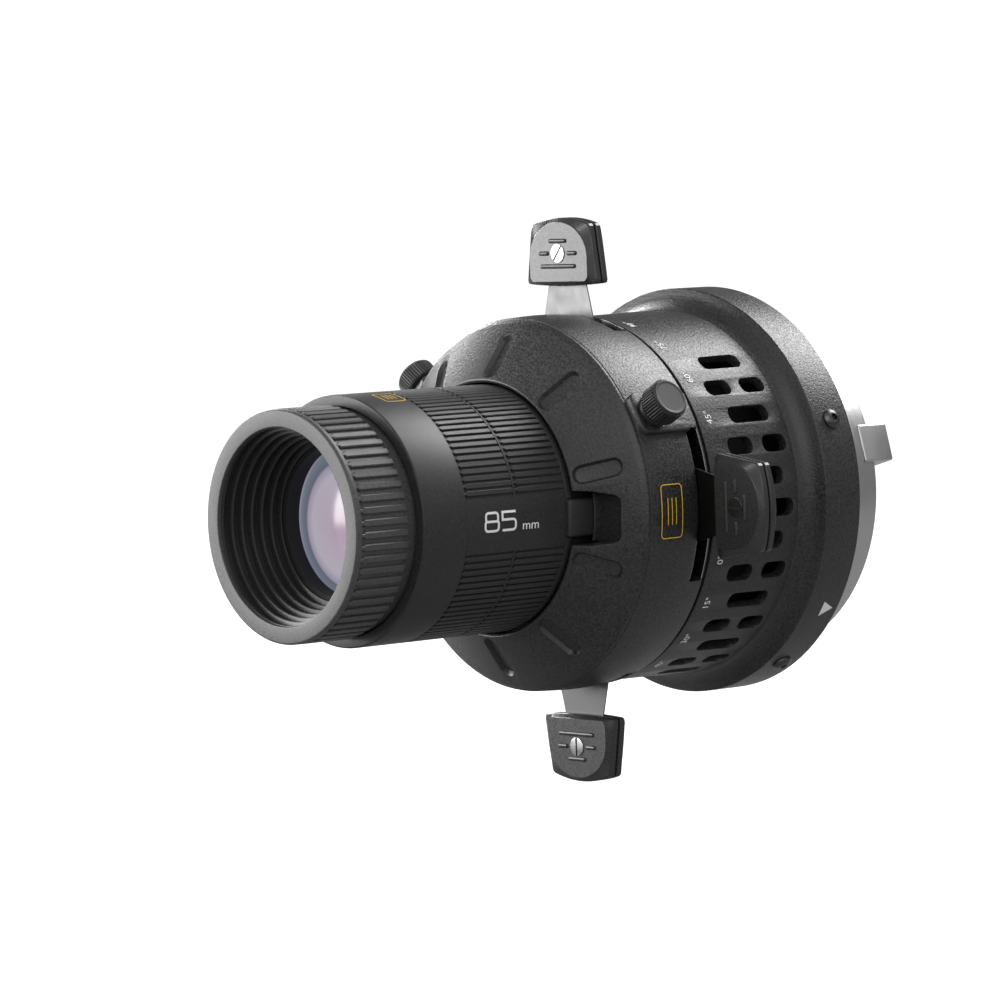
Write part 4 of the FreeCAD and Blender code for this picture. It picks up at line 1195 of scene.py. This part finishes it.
class SPOTLIGHT_OT_vented_barrel(bpy.types.Operator):
    """Thin barrel with rows of vent slots"""
    bl_idname = "spotlight.vented_barrel"
    bl_label = "Vented Barrel"

    def execute(self, context):
        size = settings("barrel")
        start, end, outer = front("vented_barrel"), rear("vented_barrel"), reach("vented_barrel")
        slim, bore, lip = outer - 0.8 * MM, outer - 3.8 * MM, outer - 7.4 * MM
        wall = lathe([
            (lip, start), (slim - 1.6 * MM, start, 0.1 * MM), (slim - 1.6 * MM, start + 1.3 * MM, 0.1 * MM),
            (slim, start + 1.4 * MM, 0.3 * MM), (outer, rear("rim_flange") - 25 * MM), (outer, end),
            (bore, end), (bore, start + 2.9 * MM), (lip, start + 2.9 * MM)], rounding=0.25 * MM)
        barrel = as_object(wall, "vented_barrel_wall")
        rows = (("short", start + 11.9 * MM, start + 23.9 * MM, 40, 14),
                ("next", start + 29.0 * MM, start + 40.5 * MM, 40, 14),
                ("long", start + 17.0 * MM, start + 36.3 * MM, 50, 15))
        for name, low, high, first, count in rows:
            outline = rounded_box_outline(high - low, size.slot_width, size.slot_corner)
            tool = as_object(slab(outline, bore - 2 * MM, outer + 2 * MM), name + "_cutter",
                             Matrix.Translation((0, (low + high) / 2, 0)))
            repeat(tool, count, math.radians(first), -size.slot_pitch)
            carve(barrel, tool)
        break_edges(barrel, 0.3 * MM, 2)
        place(barrel, "base", "textured_black", finish_named("wrinkle_paint"), "vented_barrel")
        return {"FINISHED"}


class SPOTLIGHT_OT_rim(bpy.types.Operator):
    """Rim flange with its cove and four button-head screws"""
    bl_idname = "spotlight.rim"
    bl_label = "Rim"

    def execute(self, context):
        start, end, outer = front("rim_flange"), rear("rim_flange"), reach("rim_flange")
        barrel, seat, spigot = reach("vented_barrel") + 0.05 * MM, 63.45 * MM, 58.05 * MM
        flange = lathe([
            (barrel, start, 0.1 * MM), (barrel + 1.0 * MM, start + 2.6 * MM, 1.5 * MM),
            (barrel + 3.6 * MM, start + 5.4 * MM, 1.8 * MM), (outer - 0.3 * MM, start + 7.0 * MM, 0.15 * MM),
            (outer, start + 7.3 * MM, 0.15 * MM), (outer, end - 0.7 * MM, 0.4 * MM),
            (outer - 0.7 * MM, end, 0.4 * MM), (seat, end), (seat, end - 3 * MM),
            (spigot, end - 3 * MM), (spigot, end - 8 * MM),
            (barrel, end - 8 * MM)], rounding=0.2 * MM)
        place(as_object(flange, "rim_flange_ring"), "base", "textured_black", finish_named("wrinkle_paint"),
              "rim_flange")
        head = lathe([(0, outer - 6 * MM), (2 * MM, outer - 6 * MM), (2 * MM, outer - 0.1 * MM),
                      (3.7 * MM, outer - 0.1 * MM), (3.7 * MM, outer + 0.6 * MM, 0.3 * MM),
                      (2.4 * MM, outer + 1.9 * MM, 0.9 * MM), (0, outer + 2.1 * MM)],
                     rounding=0.1 * MM, segments=48, closed=False)
        station = (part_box("rim_screws")[0].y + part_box("rim_screws")[1].y) / 2
        screw = as_object(head, "rim_screw_heads")
        hexagon = lathe([(0, outer + 0.6 * MM), (1.45 * MM, outer + 0.6 * MM), (1.45 * MM, outer + 4 * MM),
                         (0, outer + 4 * MM)], rounding=0, segments=6)
        carve(screw, as_object(hexagon, "hexagon"))
        break_edges(screw, 0.1 * MM, 2)
        screw.data.transform(upright(math.radians(24), station))
        finish = finish_named("rim_screw_and_shaded_steel")
        pair = bpy.data.objects.new("rim_screw_pair", screw.data.copy())
        bpy.context.scene.collection.objects.link(pair)
        repeat(screw, 2, 0, math.pi, finish=finish)
        repeat(pair, 2, math.radians(102), math.pi, finish=finish)
        for piece in (screw, pair):
            shade(piece)
        place(screw, "base", "dark_steel", finish, "rim_screws")
        place(pair, "base", "dark_steel", finish)
        return {"FINISHED"}


class SPOTLIGHT_OT_bayonet(bpy.types.Operator):
    """Machined bayonet ring with three claws"""
    bl_idname = "spotlight.bayonet"
    bl_label = "Bayonet"

    def execute(self, context):
        finish = finish_named("silver")
        start, end = front("mount_ring"), rear("mount_ring")
        seat, skirt, bore, spigot = reach("mount_ring"), 62.8 * MM, 52 * MM, 58 * MM
        skirt_end = end - 9.4 * MM
        ring = lathe([
            (bore, start), (spigot, start), (spigot, -3 * MM), (seat, -3 * MM), (seat, 0), (skirt, 0),
            (skirt, skirt_end, 0.5 * MM), (bore, skirt_end, 0.5 * MM)], rounding=0.2 * MM)
        body = as_object(ring, "bayonet_skirt_ring")
        place(body, "base", "silver_aluminium", finish, "mount_ring")
        claw = block((10.6 * MM, 14.8 * MM, 14.2 * MM), 0.9 * MM, 4)
        angle = math.radians(18)
        claws = as_object(claw, "bayonet_claws", Matrix.Translation((58.0 * MM, end - 7.4 * MM, 0)))
        repeat(claws, 3, angle, 2 * math.pi / 3, finish=finish)
        shade(claws)
        place(claws, "base", "silver_aluminium", finish)
        return {"FINISHED"}


class SPOTLIGHT_OT_markings(bpy.types.Operator):
    """Degree scale, index arrow and plain accent frames"""
    bl_idname = "spotlight.markings"
    bl_label = "Markings"

    def execute(self, context):
        white = finish_named("marking_white")
        station = front("vented_barrel") + 6.9 * MM
        radius = reach("vented_barrel") - 0.60 * MM
        zero = -15
        for number in range(-6, 7):
            value = str(abs(number) * 15) + "°"
            mark = lettering("scale_%s%d" % ("m" if number < 0 else "p", abs(number) * 15), value, 4.0 * MM,
                             radius, station, math.radians(zero + 15 * number), False)
            place(mark, "base", "textured_black", white)
        rim = reach("rim_flange")
        arrow = slab([(-2.8 * MM, -3.2 * MM), (2.8 * MM, 0), (-2.8 * MM, 3.2 * MM)], rim - 0.05 * MM,
                     rim + 0.08 * MM)
        arrow_piece = as_object(arrow, "index_arrow", outward(math.radians(-31.5), -6.2 * MM))
        place(arrow_piece, "base", "textured_black", white)
        yellow = finish_named("marking_yellow")
        skin = reach("gate_plate") + 6.45 * MM
        housing, tube = front("shutter_housing") + 9.3 * MM, front("lens_tube") + 14.6 * MM
        for name, radius, station, angle, long, wide, slot in (
                ("housing_accent", skin, housing, 2, 10 * MM, 19 * MM, "textured_black"),
                ("tube_accent", reach("lens_tube"), tube, 78, 9 * MM, 9 * MM, "satin_black")):
            x, z, corner = long / 2, wide / 2, 1.6 * MM
            frame_corners = [(-x, z, corner), (x, z, corner), (x, -z, corner), (-x, -z, corner)]
            outline = ribbon(frame_corners, True, 0.35 * MM)
            stripes = [ribbon([(share * x, -0.5 * z), (share * x, 0.5 * z)], False, 0.35 * MM)
                       for share in (-0.4, 0, 0.4)]
            accent = as_object(joined((outline, *stripes)), name)
            bend_round(accent.data, radius + 0.02 * MM, 0.8 * MM)
            accent.data.transform(outward(math.radians(angle), station))
            place(accent, "front_head", slot, yellow)
        return {"FINISHED"}


class SPOTLIGHT_OT_inner_parts(bpy.types.Operator):
    """Finishes for the frame's own pieces that stay in view"""
    bl_idname = "spotlight.inner_parts"
    bl_label = "Inner Parts"

    def execute(self, context):
        for name, node in frame["nodes"].items():
            if node.hide_render or name.startswith("blade_"):
                continue
            kind = "dull_black"
            if name.endswith("condenser_lens"):
                kind = "clear_glass"
            elif name == "mount_screws":
                kind = "polished_steel"
            elif name.startswith(("brake_pad", "clamp_shoe", "gate_posts")):
                kind = "black_and_shaded_steel"
            node.data.materials.clear()
            node.data.materials.append(finish_named(kind))
        return {"FINISHED"}


class SPOTLIGHT_OT_stage(bpy.types.Operator):
    """Pale floor, soft lights and the camera"""
    bl_idname = "spotlight.stage"
    bl_label = "Stage"

    def execute(self, context):
        size = settings("stage")
        azimuth, elevation = size.azimuth, size.elevation
        back = Vector((math.sin(azimuth) * math.cos(elevation), -math.cos(azimuth) * math.cos(elevation),
                       math.sin(elevation)))
        right = Vector((math.cos(azimuth), math.sin(azimuth), 0))
        up = back.cross(right)
        camera_data = bpy.data.cameras.new("camera")
        camera_data.lens = size.focal
        camera_data.sensor_width = 36
        camera = bpy.data.objects.new("camera", camera_data)
        bpy.context.scene.collection.objects.link(camera)
        camera.location = back * size.distance + right * size.shift_right + up * size.shift_up
        camera.rotation_euler = Matrix((right, up, back)).transposed().to_euler()
        bpy.context.scene.camera = camera
        low = CAD_BOX[0].z - 14 * MM
        floor_mesh = bmesh.new()
        bmesh.ops.create_grid(floor_mesh, x_segments=1, y_segments=1, size=6)
        floor = as_object(floor_mesh, "floor", Matrix.Translation((0, 0, low)))
        finish, tree, shader = new_finish("pale_floor", (0.25, 0.25, 0.25), 0.8)
        shader.inputs["Specular IOR Level"].default_value = 0.1
        seen = tree.nodes.new("ShaderNodeLightPath").outputs["Is Camera Ray"]
        glow = ranged(tree, seen, 0, 1, 0.0, size.floor_glow)
        shader.inputs["Emission Color"].default_value = (1, 1, 1, 1)
        tree.links.new(glow, shader.inputs["Emission Strength"])
        floor.data.materials.append(finish)
        world = bpy.data.worlds.new("surround")
        bpy.context.scene.world = world
        world.use_nodes = True
        tree = world.node_tree
        backdrop = tree.nodes["Background"]
        path = tree.nodes.new("ShaderNodeLightPath")
        side = tree.nodes.new("ShaderNodeVectorMath")
        side.operation = "DOT_PRODUCT"
        side.inputs[1].default_value = back
        tree.links.new(tree.nodes.new("ShaderNodeTexCoord").outputs["Generated"], side.inputs[0])
        around = ranged(tree, side.outputs["Value"], -0.3, 0.8, size.far_light, size.near_light)
        spread = ranged(tree, path.outputs["Is Camera Ray"], 0, 1, around, 1.1)
        backdrop.inputs["Color"].default_value = (1, 1, 1, 1)
        tree.links.new(spread, backdrop.inputs["Strength"])
        bpy.context.scene.view_settings.view_transform = "Standard"
        for name, spot, span, watts in (
                ("left_softbox", Vector((-0.80, -0.74, 0.10)), 0.85, 21),
                ("rear_softbox", Vector((0.04, 0.74, 0.83)), 0.65, 15),
                ("side_softbox", Vector((-0.95, 0.25, 0.40)), 0.35, 6),
                ("fill_softbox", Vector((0.95, -0.9, 0.75)), 0.9, 3)):
            lamp_data = bpy.data.lights.new(name, "AREA")
            lamp_data.size = span
            lamp_data.energy = watts
            lamp = bpy.data.objects.new(name, lamp_data)
            bpy.context.scene.collection.objects.link(lamp)
            lamp.location = spot
            lamp.rotation_euler = spot.to_track_quat("Z", "Y").to_euler()
        return {"FINISHED"}


class SPOTLIGHT_PT_builder(bpy.types.Panel):
    """Buttons that build the spotlight piece by piece"""
    bl_label = "Framing Spotlight"
    bl_idname = "SPOTLIGHT_PT_builder"
    bl_space_type = "VIEW_3D"
    bl_region_type = "UI"
    bl_category = "Spotlight"

    def draw(self, context):
        for group in SETTING_GROUPS:
            box = self.layout.box()
            box.label(text=group)
            for key in settings(group).bl_rna.properties.keys():
                if key not in ("rna_type", "name"):
                    box.prop(settings(group), key)
        for operator in OPERATORS:
            self.layout.operator(operator.bl_idname)


SETTING_GROUPS = {
    "focus": FocusSettings, "tube": TubeSettings, "cover": CoverSettings, "barrel": BarrelSettings,
    "clamp": ClampSettings, "grip": GripSettings, "paint": PaintSettings, "stage": StageSettings,
}
OPERATORS = (
    SPOTLIGHT_OT_focusing_ring, SPOTLIGHT_OT_hood, SPOTLIGHT_OT_lens_tube, SPOTLIGHT_OT_lenses,
    SPOTLIGHT_OT_front_cover, SPOTLIGHT_OT_release_button, SPOTLIGHT_OT_shutter_housing,
    SPOTLIGHT_OT_clamp_knobs, SPOTLIGHT_OT_shutters, SPOTLIGHT_OT_vented_barrel, SPOTLIGHT_OT_rim,
    SPOTLIGHT_OT_bayonet, SPOTLIGHT_OT_markings, SPOTLIGHT_OT_inner_parts, SPOTLIGHT_OT_stage,
)


def register():
    """Add the settings, the operators and the panel."""
    for name, group in SETTING_GROUPS.items():
        bpy.utils.register_class(group)
        setattr(bpy.types.Scene, "spotlight_" + name, PointerProperty(type=group))
    for operator in OPERATORS:
        bpy.utils.register_class(operator)
    bpy.utils.register_class(SPOTLIGHT_PT_builder)


def unregister():
    """Take the settings, the operators and the panel away again."""
    bpy.utils.unregister_class(SPOTLIGHT_PT_builder)
    for operator in reversed(OPERATORS):
        bpy.utils.unregister_class(operator)
    for name, group in SETTING_GROUPS.items():
        delattr(bpy.types.Scene, "spotlight_" + name)
        bpy.utils.unregister_class(group)


def main():
    """Build every piece and the stage."""
    register()
    for operator in OPERATORS:
        family, name = operator.bl_idname.split(".")
        getattr(getattr(bpy.ops, family), name)()


if __name__ == "__main__":
    main()
